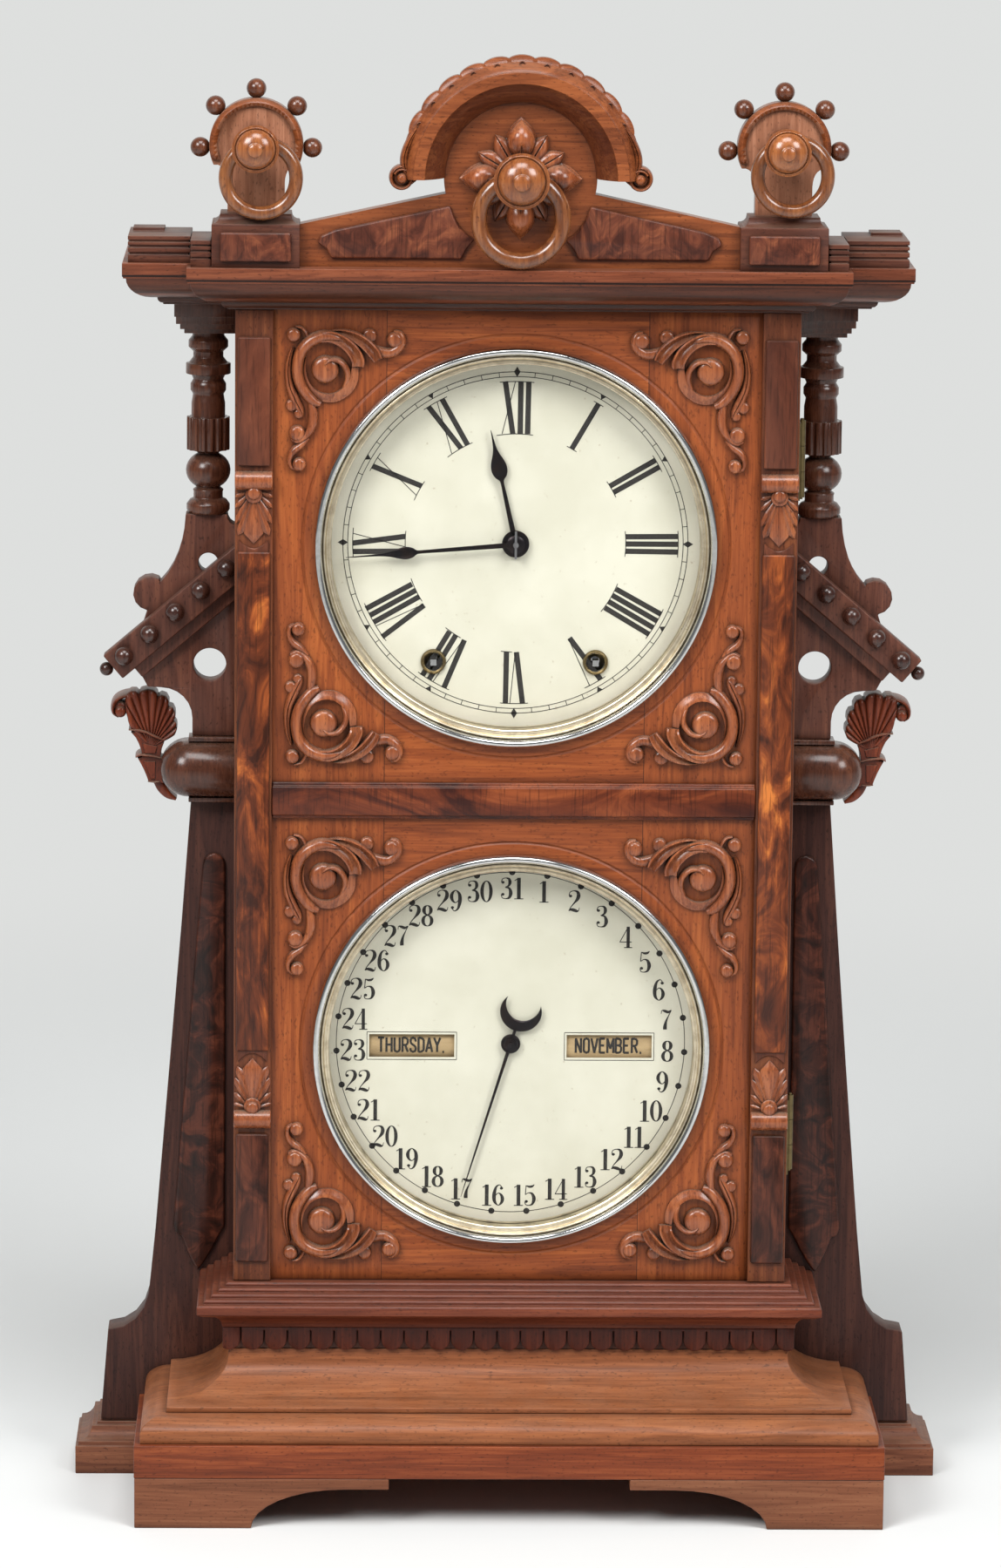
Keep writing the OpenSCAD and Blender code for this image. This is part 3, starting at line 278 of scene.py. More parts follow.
def grain(f, squeeze, shift):
    """Growth bands, fibres and pores as three factors, read along one squeezed direction."""
    flow = f.along(squeeze, shift=shift)
    slow = f.noise(flow, 75.0, 5.0, 0.6, 0.8)
    rings = f.math("SINE", f.math("MULTIPLY", slow, 46.0))
    fine = f.noise(flow, 620.0, 3.0, 0.7)
    pores = f.noise(f.along(tuple(s if s == 1.0 else 0.4 for s in squeeze), shift=shift), 900.0, 2.0, 0.5)
    return slow, rings, fine, pores


def walnut(name, dark, mid, light, way="Z", rough=0.42, coat=0.05, dust_and_sheen=0.2, dirt_and_shade=0.7, reach=0.005,
           bands=None):
    f = Finish(name, Coat_Weight=coat, Coat_Roughness=0.2, Specular_IOR_Level=0.22)
    slow, rings, fine, pores = grain(f, SQUEEZE[way], (0, 0, 0))
    blend = f.math("ADD", f.math("MULTIPLY", rings, 0.07), f.math("ADD", f.math("MULTIPLY", slow, 0.6),
                   f.math("MULTIPLY", fine, 0.44)))
    colour = f.ramp(blend, (0.30, dark), (0.52, mid), (0.74, light))
    cloud = f.noise(f.place, 9.0, 2.0)
    colour = f.mix(f.math("MULTIPLY", cloud, 0.5), colour, dark, "MIX")
    colour = f.mix(f.ramp(pores, (0.30, 0.55), (0.40, 0.0)), colour, tuple(0.35 * c for c in dark))
    if bands:
        height = f.add("SeparateXYZ", {0: f.place}).outputs[2]
        share = f.add("MapRange", {0: height, 1: bands[0] * MM, 2: bands[1] * MM}).outputs[0]
        colour = f.mix(1.0, colour, f.ramp(share, *bands[2]), "MULTIPLY")
    # Dirt and painted shade in hollows, dust and a painted sheen on tops.
    colour = grime(f, colour, dirt_and_shade, dust_and_sheen, reach)
    f.set("Base Color", colour)
    f.set("Roughness", f.math("MULTIPLY_ADD", fine, 0.22, rough - 0.11))
    f.bump(f.math("ADD", f.math("MULTIPLY", fine, 0.5), pores), 0.16, 0.0004)
    return f.material


def grime(f, colour, dirt_and_shade, dust_and_sheen, reach=0.005):
    """Darkens inner corners by ambient occlusion, as dirt and painted shade, and lays dust that also paints a
    sheen on faces that look up.
    """
    if dirt_and_shade:
        # Painted shade: ambient occlusion darkens hollows and the wood beside neighbouring parts, along with
        # dirt.
        hollow = f.add("AmbientOcclusion", {"Distance": reach}, samples=6).outputs["AO"]
        colour = f.mix(f.math("MULTIPLY", f.math("SUBTRACT", 1.0, hollow), dirt_and_shade, clamp=True), colour, SOOT_AND_SHADE)
    if dust_and_sheen:
        # Dust on faces that look up, which on carvings is raised to paint a sheen on their tops.
        up = f.add("SeparateXYZ", {0: f.add("NewGeometry").outputs["Normal"]}).outputs[2]
        dust_sheen_share = f.math("MULTIPLY", f.ramp(up, (0.45, 0.0), (0.95, 1.0)),
                     f.ramp(f.noise(f.place, 70.0, 4.0), (0.35, 0.35), (0.7, 1.0)))
        colour = f.mix(f.math("MULTIPLY", dust_sheen_share, dust_and_sheen), colour, DUST_SHEEN_TONE)
    return colour


# %% [markdown]
# Burl and crotch veneer have no straight grain. The point that the noise reads is first pushed about
# by another noise, so the figure swirls, and a tilted squeeze draws it out into flames on the stiles.

# %% Burl and flame veneer
def veneer(name, stops, scale, squeeze=(1, 1, 1), tilt=0.0, eyes=0.0):
    f = Finish(name, Coat_Weight=0.12, Coat_Roughness=0.2, Specular_IOR_Level=0.22)
    flow = f.along(squeeze, turn=(0, math.radians(tilt), 0))
    push = f.add("TexNoise", {"Vector": flow, "Scale": scale * 0.4, "Detail": 2.0}).outputs["Color"]
    bent = f.add("VectorMath", {0: push, 1: (0.05, 0.05, 0.05), 2: flow}, operation="MULTIPLY_ADD").outputs[0]
    figure = f.noise(bent, scale, 6.0, 0.62, 1.4)
    colour = f.ramp(figure, *stops)
    hair = f.noise(f.along((1, 1, 0.06)), 900.0, 2.0)
    colour = f.mix(f.ramp(hair, (0.36, 0.45), (0.46, 0.0)), colour, tuple(0.4 * c for c in stops[0][1]))
    if eyes:
        spots = f.add("TexVoronoi", {"Vector": bent, "Scale": scale * 3.0}).outputs["Distance"]
        colour = f.mix(f.math("MULTIPLY", f.ramp(spots, (0.08, 1.0), (0.22, 0.0)), eyes), colour, stops[0][1])
    # Dirt and painted shade in hollows, and a little dust on tops.
    f.set("Base Color", grime(f, colour, 0.5, 0.1))
    f.set("Roughness", f.math("MULTIPLY_ADD", figure, 0.15, 0.29))
    f.bump(figure, 0.08, 0.0004)
    return f.material


# %% [markdown]
# Every wood on the clock is one of these two rules with its own three tones, from dark to light. The
# plain woods' tones are in thousandths. The cornice also has level bands, by height in millimetres.
# The apron's tones and the cove shade's are darkened as painted shade.

# %% The clock's woods
BANDS = (661, 686, [(0, 0.5), (0.15, 0.5), (0.17, 0.25), (0.2, 0.5), (0.26, 1.1), (0.31, 1.1), (0.34, 0.45),
                    (0.6, 0.9), (0.64, 1.3), (0.7, 1.3), (0.712, 0.12), (0.74, 0.12), (0.755, 1.3),
                    (1, 1.45)])
WOODS = {
    "case": ((60, 16, 7), (145, 39, 14), (260, 80, 27), {}),
    "base": ((95, 20, 7), (205, 43, 13), (345, 85, 25), dict(way="X", dust_and_sheen=0.02)),
    "cove": ((160, 50, 18), (300, 98, 36), (450, 160, 58), dict(way="X", dust_and_sheen=0.1)),
    "sill": ((65, 15, 7), (145, 32, 14), (235, 60, 25), dict(way="X", dust_and_sheen=0.08)),
    # Painted shade: the apron's tones are darkened for the shadow it stands in under the plinth.
    "apron": ((34, 6, 2.5), (75, 13, 5), (135, 26, 10), dict(dust_and_sheen=0.0)),
    "foot": ((120, 40, 18), (205, 72, 34), (290, 118, 57), dict(way="X", rough=0.55, coat=0.0)),
    "rear": ((90, 28, 14), (190, 66, 33), (300, 115, 55), dict(way="X", rough=0.5, coat=0.0)),
    "wing": ((24, 8, 6), (55, 18, 12), (100, 34, 20), dict(rough=0.5, dust_and_sheen=0.1)),
    "bracket": ((50, 17, 11), (115, 39, 24), (190, 68, 38), dict(rough=0.45, dust_and_sheen=0.15)),
    "crown": ((105, 27, 9), (215, 57, 17), (350, 102, 30), dict(way="X", rough=0.34, coat=0.2)),
    # Painted shade: a darker copy of the crown wood for the hood's cove.
    "cove_shade": ((60, 14, 6), (120, 31, 11), (200, 60, 20), dict(way="X", rough=0.4)),
    "cornice": ((55, 14, 6), (125, 33, 14), (215, 63, 26),
                dict(way="X", rough=0.36, coat=0.15, dust_and_sheen=0.1, bands=BANDS)),
    "block": ((50, 15, 9), (100, 31, 17), (170, 58, 30), dict(way="X", dust_and_sheen=0.2)),
    # Carved woods: dirt and reach are raised to paint deep shade in the recesses, and dust to paint a sheen
    # on the tops.
    "carved": ((120, 30, 11), (275, 75, 26), (460, 148, 52),
               dict(rough=0.27, coat=0.5, dirt_and_shade=1.3, dust_and_sheen=0.3, reach=0.009)),
    "palmette": ((70, 13, 5), (160, 29, 10), (260, 53, 18), dict(rough=0.36, coat=0.2, dirt_and_shade=1.0, dust_and_sheen=0.5)),
    "turned": ((130, 34, 10), (280, 86, 23), (440, 155, 45), dict(rough=0.22, coat=0.8, dust_and_sheen=0.0)),
    "stud": ((22, 8, 6), (50, 17, 11), (90, 30, 18), dict(rough=0.24, coat=0.6, dust_and_sheen=0.05)),
    "column": ((36, 11, 6), (88, 28, 14), (165, 54, 24), dict(rough=0.28, coat=0.45, dust_and_sheen=0.1)),
    "disc": ((170, 62, 32), (290, 120, 64), (420, 190, 110), dict(rough=0.5, coat=0.0)),
    "ring": ((85, 24, 8), (200, 64, 19), (340, 125, 40), dict(rough=0.2, coat=0.9, dust_and_sheen=0.0)),
    "ball": ((50, 13, 6), (110, 32, 13), (190, 60, 25), dict(rough=0.25, coat=0.6, dust_and_sheen=0.05)),
    }
wood = {}
for name, (*tones, extra) in WOODS.items():
    tones = [tuple(c / 1000 for c in tone) for tone in tones]
    wood[name] = walnut(name + "_walnut", *tones, **extra)
rail_wood = veneer("rail_veneer", [(0.38, (0.032, 0.006, 0.003)), (0.52, (0.115, 0.023, 0.007)),
                                   (0.68, (0.27, 0.065, 0.018))],
                   34.0, (0.35, 1, 1), 0.0)
stile_veneer = veneer("stile_flame_veneer", [(0.38, (0.034, 0.008, 0.003)), (0.5, (0.11, 0.024, 0.007)),
        (0.6, (0.25, 0.058, 0.013)),
                      (0.7, (0.54, 0.16, 0.03))], 46.0, (1, 1, 0.45), 40.0)
burl_veneer = veneer("dark_burl_veneer", [(0.36, (0.015, 0.005, 0.003)), (0.5, (0.043, 0.011, 0.006)),
                                          (0.66, (0.105, 0.027, 0.013))],
                     60.0, eyes=0.7)
crown_veneer = veneer("crown_burl_veneer", [(0.36, (0.045, 0.012, 0.007)), (0.52, (0.105, 0.028, 0.014)),
                                            (0.7, (0.20, 0.06, 0.026))],
                      75.0, (1, 1, 0.7), 20.0, eyes=0.3)
low_veneer = veneer("low_stile_veneer", [(0.36, (0.022, 0.006, 0.003)), (0.52, (0.062, 0.016, 0.008)),
                                         (0.7, (0.13, 0.035, 0.015))], 60.0,
                    (1, 1, 0.5), -30.0, eyes=0.4)
high_veneer = veneer("high_stile_veneer", [(0.36, (0.06, 0.016, 0.008)), (0.52, (0.115, 0.032, 0.015)),
                                           (0.7, (0.22, 0.065, 0.028))], 30.0,
                     (1, 1, 0.3), 35.0)
pine_wood = walnut("back_pine", (0.20, 0.11, 0.05), (0.36, 0.22, 0.11), (0.50, 0.33, 0.18), rough=0.7,
                   coat=0.0, dirt_and_shade=0.5)


# %% [markdown]
# The door's front is framed up: uprights with vertical grain outside, and level boards between two
# joints 70 mm either side of the middle. One material can hold both, because the joint's place is
# known: two grain patterns are made, and the distance from the middle picks one of them.

# %% The door's framed front
JOINT_AT, JOINT_HALF = 0.0703, 0.00022


def door_finish():
    dark, mid, light = (0.115, 0.026, 0.008), (0.27, 0.064, 0.016), (0.42, 0.118, 0.029)
    f = Finish("door_walnut", Coat_Weight=0.06, Coat_Roughness=0.2, Specular_IOR_Level=0.22)
    across = f.math("ABSOLUTE", f.add("SeparateXYZ", {0: f.place}).outputs[0])
    level = f.math("LESS_THAN", across, JOINT_AT)
    tones, fibres = [], []
    for way in ("Z", "X"):
        slow, rings, fine, pores = grain(f, SQUEEZE[way], (0.31, 0.0, 0.17))
        blend = f.math("ADD", f.math("MULTIPLY", rings, 0.06), f.math("ADD", f.math("MULTIPLY", slow, 0.6),
                       f.math("MULTIPLY", fine, 0.44)))
        tone = f.ramp(blend, (0.30, dark), (0.52, mid), (0.76, light))
        tones.append(f.mix(f.ramp(pores, (0.30, 0.5), (0.40, 0.0)), tone, tuple(0.35 * c for c in dark)))
        fibres.append(fine)
    colour = f.mix(level, tones[0], tones[1])
    colour = f.mix(f.math("MULTIPLY", f.noise(f.place, 8.0, 2.0), 0.45), colour, dark)
    joint = f.math("LESS_THAN", f.math("ABSOLUTE", f.math("SUBTRACT", across, JOINT_AT)), JOINT_HALF)
    colour = f.mix(f.math("MULTIPLY", joint, 0.75), colour, (0.02, 0.008, 0.005))
    # Dirt and painted shade in corners, and dust on tops.
    f.set("Base Color", grime(f, colour, 0.75, 0.25))
    fine = f.mix(level, fibres[0], fibres[1])
    f.set("Roughness", 0.4)
    f.bump(f.math("SUBTRACT", fine, joint), 0.16, 0.0004)
    return f.material


door_wood = door_finish()
print("woods:", len(bpy.data.materials))


# %% [markdown]
# ## Metals, paint, card and glass
# Metal is never even: it is rubbed where fingers go and dull where they don't. A cloudy noise in the
# roughness does more for it than any change of colour.

# %% Metals and the rest
def metal(name, colour, rough, spread=0.12, tarnish=None, bumpy=0.05):
    f = Finish(name, Metallic=1.0)
    cloud = f.noise(f.place, 160.0, 5.0, 0.65, 0.4)
    f.set("Base Color", f.mix(f.ramp(cloud, (0.42, 0.0), (0.68, 0.6)), colour,
                              tarnish or tuple(0.72 * c for c in colour)))
    f.set("Roughness", f.math("MULTIPLY_ADD", cloud, spread, rough - spread / 2))
    f.bump(f.noise(f.place, 1500.0, 2.0), bumpy, 0.0002)
    return f.material


nickel = metal("nickel_plate", (0.62, 0.62, 0.61), 0.12, 0.1, (0.46, 0.45, 0.43), 0.03)
rubbed_nickel = metal("rubbed_nickel", (0.72, 0.63, 0.47), 0.3, 0.14, (0.40, 0.31, 0.20), 0.03)
brass = metal("clock_brass", (0.62, 0.44, 0.17), 0.32, 0.2, (0.36, 0.23, 0.08))
old_brass = metal("old_brass", (0.20, 0.15, 0.07), 0.42, 0.2, (0.09, 0.065, 0.035))
steel = metal("bright_steel", (0.42, 0.42, 0.43), 0.3, 0.18, (0.2, 0.18, 0.16))
blued = metal("blued_steel", (0.030, 0.027, 0.030), 0.34, 0.2, (0.055, 0.034, 0.026))


def painted_sheet():
    f = Finish("cream_dial_paint", Roughness=0.42)
    mottle = f.noise(f.place, 24.0, 4.0, 0.6)
    colour = f.ramp(mottle, (0.35, (0.70, 0.68, 0.54)), (0.65, (0.78, 0.76, 0.62)))
    specks = f.noise(f.place, 420.0, 2.0)
    colour = f.mix(f.ramp(specks, (0.70, 0.0), (0.78, 0.5)), colour, (0.42, 0.33, 0.20))
    f.set("Base Color", colour)
    f.bump(f.noise(f.place, 700.0, 2.0), 0.05, 0.0002)
    return f.material


def paper(name, light, dark):
    f = Finish(name, Roughness=0.8)
    f.set("Base Color", f.ramp(f.noise(f.along((0.2, 1, 1)), 300.0, 5.0), (0.3, dark), (0.7, light)))
    f.bump(f.noise(f.place, 2200.0, 2.0), 0.1, 0.0001)
    return f.material


def glass_pane():
    f = Finish("clear_glass", Base_Color=(0.01, 0.012, 0.011), IOR=1.46, Alpha=0.06)
    f.set("Roughness", f.math("MULTIPLY_ADD", f.noise(f.place, 40.0, 3.0), 0.03, 0.01))
    return f.material


dial_paint = painted_sheet()
card = paper("tan_card", (0.58, 0.42, 0.22), (0.40, 0.28, 0.14))
ink = paper("printing_ink", (0.022, 0.020, 0.018), (0.034, 0.030, 0.026))
pane = glass_pane()


# %% [markdown]
# ## Boards and mouldings
# The solids already have the right profiles. Real arrises are eased with a stroke of glasspaper, and
# that thin line of light along every edge is what makes wood look like wood. So each board is a
# merged copy of its solid with a narrow bevel, and the copy stands for the solid.

# %% Easing the arrises of a solid
def eased(node, finish, width=0.5, angle=32.0):
    """A merged copy of a solid's mesh, its flat triangles rejoined, with a narrow rounded bevel."""
    mesh = frame["nodes"][node].data.copy()
    bm = bmesh.new()
    bm.from_mesh(mesh)
    bmesh.ops.remove_doubles(bm, verts=bm.verts, dist=1e-6)
    bmesh.ops.dissolve_limit(bm, angle_limit=math.radians(0.4), verts=bm.verts, edges=bm.edges)
    bm.to_mesh(mesh)
    bm.free()
    mesh.shade_smooth()
    mesh.set_sharp_from_angle(angle=math.radians(180.0 if width else angle))
    piece = show(bpy.data.objects.new(node + "_eased", mesh))
    mesh.materials.clear()
    mesh.materials.append(finish)
    if width:
        edge = piece.modifiers.new("eased_edge", "BEVEL")
        edge.width = width * MM
        edge.segments = 2
        edge.limit_method = "ANGLE"
        edge.angle_limit = math.radians(angle)
        edge.use_clamp_overlap = False
        edge.harden_normals = True
    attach(piece, body_of[node])
    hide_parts(node)
    return piece


boards = {
    "bracket_feet": (wood["foot"], 0.6), "plinth_frame": (wood["base"], 0.6),
    "base_moulding": (wood["cove"], 0.5), "scalloped_apron": (wood["apron"], 0.4),
    "sill_moulding": (wood["sill"], 0.3), "case_boards": (wood["case"], 0.5),
    "back_panel": (pine_wood, 0.6), "rear_plinth": (wood["rear"], 0.5),
    "wing_boards": (wood["wing"], 0.6), "bracket_boards": (wood["bracket"], 0.6),
    "rake_rails": (wood["bracket"], 0.8), "bolsters": (wood["column"], 0.4),
    "cornice": (wood["cornice"], 0.3), "parapet_blocks": (wood["block"], 0.35),
    "pediment_board": (wood["crown"], 0.0), "finial_blocks": (wood["block"], 0.4),
    "finial_boards": (wood["crown"], 0.0), "dial_board": (pine_wood, 0.4),
    "door_frame": (door_wood, 0.35), "door_stiles": (wood["case"], 0.6),
    "door_mid_rail": (rail_wood, 0.9), "stile_panels": (stile_veneer, 1.1),
    "veneer_panels": (burl_veneer, 1.2), "columns": (wood["column"], 0.25),
    "ball_studs": (wood["stud"], 0.2),
    }
for node, (finish, width) in boards.items():
    eased(node, finish, width)


def second_finish(name, finish, picks):
    """Gives another finish to the faces whose centre (x, f, z) in millimetres passes picks."""
    mesh = bpy.data.objects[name].data
    flat = np.empty(len(mesh.polygons) * 3)
    mesh.polygons.foreach_get("center", flat)
    x, y, z = flat.reshape(-1, 3).T / MM
    mesh.materials.append(finish)
    mesh.polygons.foreach_set("material_index", picks(x, WALL - y, z).astype(np.int32))


second_finish("veneer_panels_eased", crown_veneer, lambda x, f, z: z > Z_CROWN)
second_finish("stile_panels_eased", low_veneer, lambda x, f, z: z < 216)
second_finish("stile_panels_eased", high_veneer,
              lambda x, f, z: np.where(z > 570, 2, np.where(z < 216, 1, 0)))
second_finish("ball_studs_eased", wood["ball"], lambda x, f, z: z > Z_CROWN)
second_finish("finial_boards_eased", wood["disc"],
              lambda x, f, z: np.hypot(np.abs(x) - FINIAL_X, z - Z_CROWN - FINIAL_UP) < 21.5)
print("eased", len(boards), "wooden nodes")

# %% [markdown]
# Wheels, plates and dials are plain enough as they are. They keep their solids and get a finish.

# %% Metal nodes keep their solids
plain = {
    "movement_frame": brass, "hinge_case_leaves": old_brass, "hinge_door_leaves": old_brass,
    "centre_arbor": steel, "hour_wheel": brass, "time_main_wheel": brass, "second_wheel": brass,
    "escape_wheel": brass, "hammer": brass, "pendulum": brass, "verge": steel, "gong": steel,
    "mainsprings": steel, "calendar_frame": steel, "time_winding_arbor": nickel,
    "strike_winding_arbor": nickel, "calendar_lift_rod": steel, "day_roller": card,
    "month_roller": card, "time_dial": dial_paint, "calendar_dial": dial_paint, "dial_glasses": pane,
    }
for node, finish in plain.items():
    if not frame["nodes"][node].hide_render:
        mesh = frame["nodes"][node].data
        mesh.materials.clear()
        mesh.materials.append(finish)
print("plain finishes on", len(plain), "nodes")

# %% [markdown]
# ## Printing on the dials
# The dials are printed, so every mark is a thin flat stroke of ink. A stroke is drawn in the plane of
# the sheet by its middle line and its half width. The numerals stand with their feet to the centre,
# so each is drawn once, upright, and then turned about the dial.

# %% Ink strokes
def inked(name, strokes, place, body):
    """Flat strokes (path, half, closed), each carried by place(u, v, t) from its plane to the part."""
    shells = []
    for path, half, closed in strokes:
        points, faces = ribbon(path, np.broadcast_to(half, len(path)), -0.04, 0.1, closed)
        shells.append((place(*points.T), faces))
    return build(name, shells, ink, body, slot="blued")


def on_dial(zc):
    return lambda u, v, t: spot(u, F_SHEET + t, zc + v)


def ring_path(r):
    a = 2 * np.pi * np.arange(360) / 360
    return np.column_stack([r * np.sin(a), r * np.cos(a)])


def turned_to(points, phi):
    """Points (t, r) near twelve o'clock, turned clockwise by phi radians about the dial's centre."""
    t, r = np.asarray(points, float).T
    return np.column_stack([t * np.cos(phi) + r * np.sin(phi), r * np.cos(phi) - t * np.sin(phi)])


R_IN, R_OUT, THICK, THIN = 59.7, 88.1, 1.45, 0.22
TRACK_IN, TRACK_OUT = 90.75, 93.35
STROKES = {"I": [(0, 0, THICK)], "V": [(0, 3.5, THICK), (6.9, 4.2, THIN)],
           "X": [(0, 4.1, THICK), (5.4, -2.1, THIN)]}
STEP = {"II": 4.25, "IX": 4.6, "IV": 4.6, "VI": 9.3, "XI": 8.4}


def numeral(text, phi):
    """Strokes of one Roman numeral: x at the rim, x at the foot, half width, then the serif arcs."""
    lines, feet, x = [], [], 0.0
    for k, letter in enumerate(text):
        x += STEP[text[k - 1] + letter] if k else 0.0
        lines += [(x + a, x + b, h) for a, b, h in STROKES[letter]]
        feet += [] if letter == "V" else [x + b for _, b, _ in STROKES[letter]]
    tops = [a for a, _, _ in lines]
    shift = -(min(tops) + max(tops)) / 2
    out = [(turned_to([(a + shift, R_OUT), (0.93 * (b + shift), R_IN)], phi), h, False) for a, b, h in lines]
    for ends, radius in ((tops, R_OUT), (feet, R_IN)):
        if ends:
            t = (np.linspace(min(ends), max(ends),
                             9) + shift) * (1.0 if radius > 80 else 0.93) + np.linspace(-3.0, 3.0, 9)
            out.append((turned_to(np.column_stack([radius * np.sin(t / radius), radius * np.cos(t / radius)]),
                                  phi), 0.22, False))
    return out


# %% [markdown]
# Two circles with a tick between them for each minute run round the time dial. Every five minutes a
# wedge stands instead of the tick, and the quarters have a lozenge.

# %% The time dial
marks = [(ring_path(TRACK_IN), 0.19, True), (ring_path(TRACK_OUT), 0.2, True)]
for minute in range(60):
    if minute % 5:
        marks.append((turned_to([(0, TRACK_IN), (0, TRACK_OUT)], math.radians(6 * minute)), 0.19, False))
for hour, text in enumerate("XII I II III IIII V VI VII VIII IX X XI".split()):
    phi = math.radians(30 * hour)
    marks += numeral(text, phi)
    if hour % 3:
        marks.append((turned_to([(0, 93.4), (0, 90.7)], phi), np.array([1.75, 0.05]), False))
    else:
        marks.append((turned_to([(0, 96.2), (0, TRACK_OUT), (0, 90.6)], phi), np.array([0.03, 1.75, 0.03]),
                      False))
inked("time_dial_printing", marks, on_dial(Z_TIME), body_of["time_dial"])
print("time dial strokes:", len(marks))

# %% [markdown]
# The calendar's figures are the old kind with fat sides and hair-thin tops, and they all stand
# upright. Each figure is a few strokes whose width changes along them. A smooth curve is passed
# through a handful of points that each carry x, y and the half width, in hundredths of the height.

# %% Figures with thick and thin strokes
HAIR = 2
CURVES = {
    1: [[(20, 0, 8.5), (20, 99, 8.5)], [(2, 1.2, HAIR), (38, 1.2, HAIR)], [(20, 97, HAIR), (3, 86, HAIR)]],
    2: [[(5, 76, HAIR), (9, 92, HAIR), (24, 98.5, HAIR), (38, 93, 6), (42.5, 77, 8.5), (38, 60, 7.5),
         (26, 42, 3.5), (12, 22, HAIR), (5, 6, HAIR)],
        [(4, 5, HAIR), (12, 11, 5.5), (24, 9, 7.5), (36, 4, 6), (43, 7, HAIR), (46, 20, 1.5)]],
    3: [[(5, 80, HAIR), (10, 94, HAIR), (23, 98, HAIR), (35, 93, 5.5), (38.5, 77, 7.5), (33, 62, 4.5),
         (20, 54.5, 1.8)],
        [(20, 54.5, 1.8), (36, 50, 5), (42, 28, 8.5), (36, 7, 5.5), (22, 2, HAIR), (9, 6, HAIR),
         (4.5, 20, HAIR)]],
    4: [[(34, 98, 1.8), (2, 28, 1.8)], [(0, 27, HAIR), (48, 27, HAIR)], [(34, 0, 7.5), (34, 98, 7.5)],
        [(18, 1.2, HAIR), (50, 1.2, HAIR)]],
    5: [[(10, 95, 1.5), (22, 90, 5), (34, 92, 5), (42, 100, 1.5)], [(10, 96, HAIR), (7, 52, HAIR)],
        [(7, 52, 1.8), (20, 61, HAIR), (34, 56, 5.5), (41, 33, 8.5), (35, 9, 5), (22, 2, HAIR),
         (9, 5, HAIR), (5, 18, HAIR)]],
    6: [[(40, 86, HAIR), (30, 98, HAIR), (16, 86, 5), (9, 52, 8.5), (11, 20, 7), (25, 2, HAIR),
         (38, 14, 6), (42, 33, 8), (36, 52, 5), (25, 59, HAIR), (14, 48, HAIR)]],
    7: [[(4, 80, 1.5), (7, 95, HAIR), (18, 93, 6), (32, 88, 6), (44, 97, HAIR)],
        [(44, 97, 1.8), (34, 72, HAIR), (24, 45, 5), (20, 20, 8.5), (20, 6, 8.5)]],
}
BALLS = {2: [(11, 74)], 3: [(11, 78), (11, 22)], 5: [(11, 20)], 6: [(38, 82)], 9: [(12, 18)]}
OVALS = {0: [(25, 50, 17.5, 48)], 8: [(24, 76, 13.5, 21), (24, 27, 17, 24.5)]}


def figure(digit, x, y, high, wide):
    """One figure's strokes with its lower left corner at (x, y); nine is six turned half round."""
    out, size = [], np.array([high * wide, high])
    for curve in CURVES.get(6 if digit == 9 else digit, []):
        line = smooth(np.array(curve) / 100, 5)
        if digit == 9:
            line = line * (-1, -1, 1) + (0.5, 1.0, 0)
        out.append((line[:, :2] * size + (x, y), line[:, 2] * high, False))
    for centre in BALLS.get(digit, []):
        row = np.column_stack([[-0.065, -0.045, 0, 0.045, 0.065], np.zeros(5)]) + np.array(centre) / 100
        out.append((row * size + (x, y), np.array([0.012, 0.047, 0.068, 0.047, 0.012]) * high, False))
    for oval in OVALS.get(digit, []):
        cx, cy, a, b = np.array(oval) / 100
        turn_by = 2 * np.pi * np.arange(36) / 36
        line = np.column_stack([cx + a * np.cos(turn_by), cy + b * np.sin(turn_by)])
        out.append((line * size + (x, y), (0.02 + 0.06 * np.abs(np.cos(turn_by)) ** 1.5) * high, True))
    return out


# %% [markdown]
# The calendar dial has 31 days, each with a dot on the rim, and a frame round each window.

# %% The calendar dial
WINDOW_X, WINDOW_Z = 54.2, -1.9
RIM_R, FIGURE_R, TALL, WIDE, SPOT_R = 95.6, 86.6, 12.0, 1.16, 1.73
marks = [(ring_path(RIM_R), 0.19, True)]
for day in range(1, 32):
    phi = 2 * np.pi * day / 31
    cx, cy = RIM_R * math.sin(phi), RIM_R * math.cos(phi)
    across = 1.7 * np.array([-1, -0.87, -0.5, 0, 0.5, 0.87, 1])
    marks.append((np.column_stack([cx + across, cy + 0 * across]), np.sqrt(SPOT_R**2 - across**2), False))
    digits = [int(c) for c in str(day)]
    widths = [0.42 if d == 1 else 0.52 for d in digits]
    x = FIGURE_R * math.sin(phi) - WIDE * TALL * sum(widths) / 2
    for digit, width in zip(digits, widths):
        marks += figure(digit, x + (0.02 * TALL if digit == 1 else 0), FIGURE_R * math.cos(phi) - TALL / 2,
                        TALL, WIDE)
        x += WIDE * width * TALL
WINDOW_HALF = np.array([24.6, 7.75])
for side in (-1, 1):
    box = np.array([(-1, -1), (1, -1), (1, 1), (-1, 1)]) * WINDOW_HALF + (side * WINDOW_X, WINDOW_Z)
    marks += [(np.array([box[k], box[(k + 1) % 4]]), 0.16, False) for k in range(4)]
inked("calendar_dial_printing", marks, on_dial(Z_CAL), body_of["calendar_dial"])
print("calendar dial strokes:", len(marks))

# %% [markdown]
# Behind the two windows turn drums with the seven days and the twelve months. As the date hand goes
# forward the drums' fronts go down, so tomorrow's name waits above today's. The names are strokes of
# one width, in hundredths of the height, bent round the drum by reading their height as an angle.

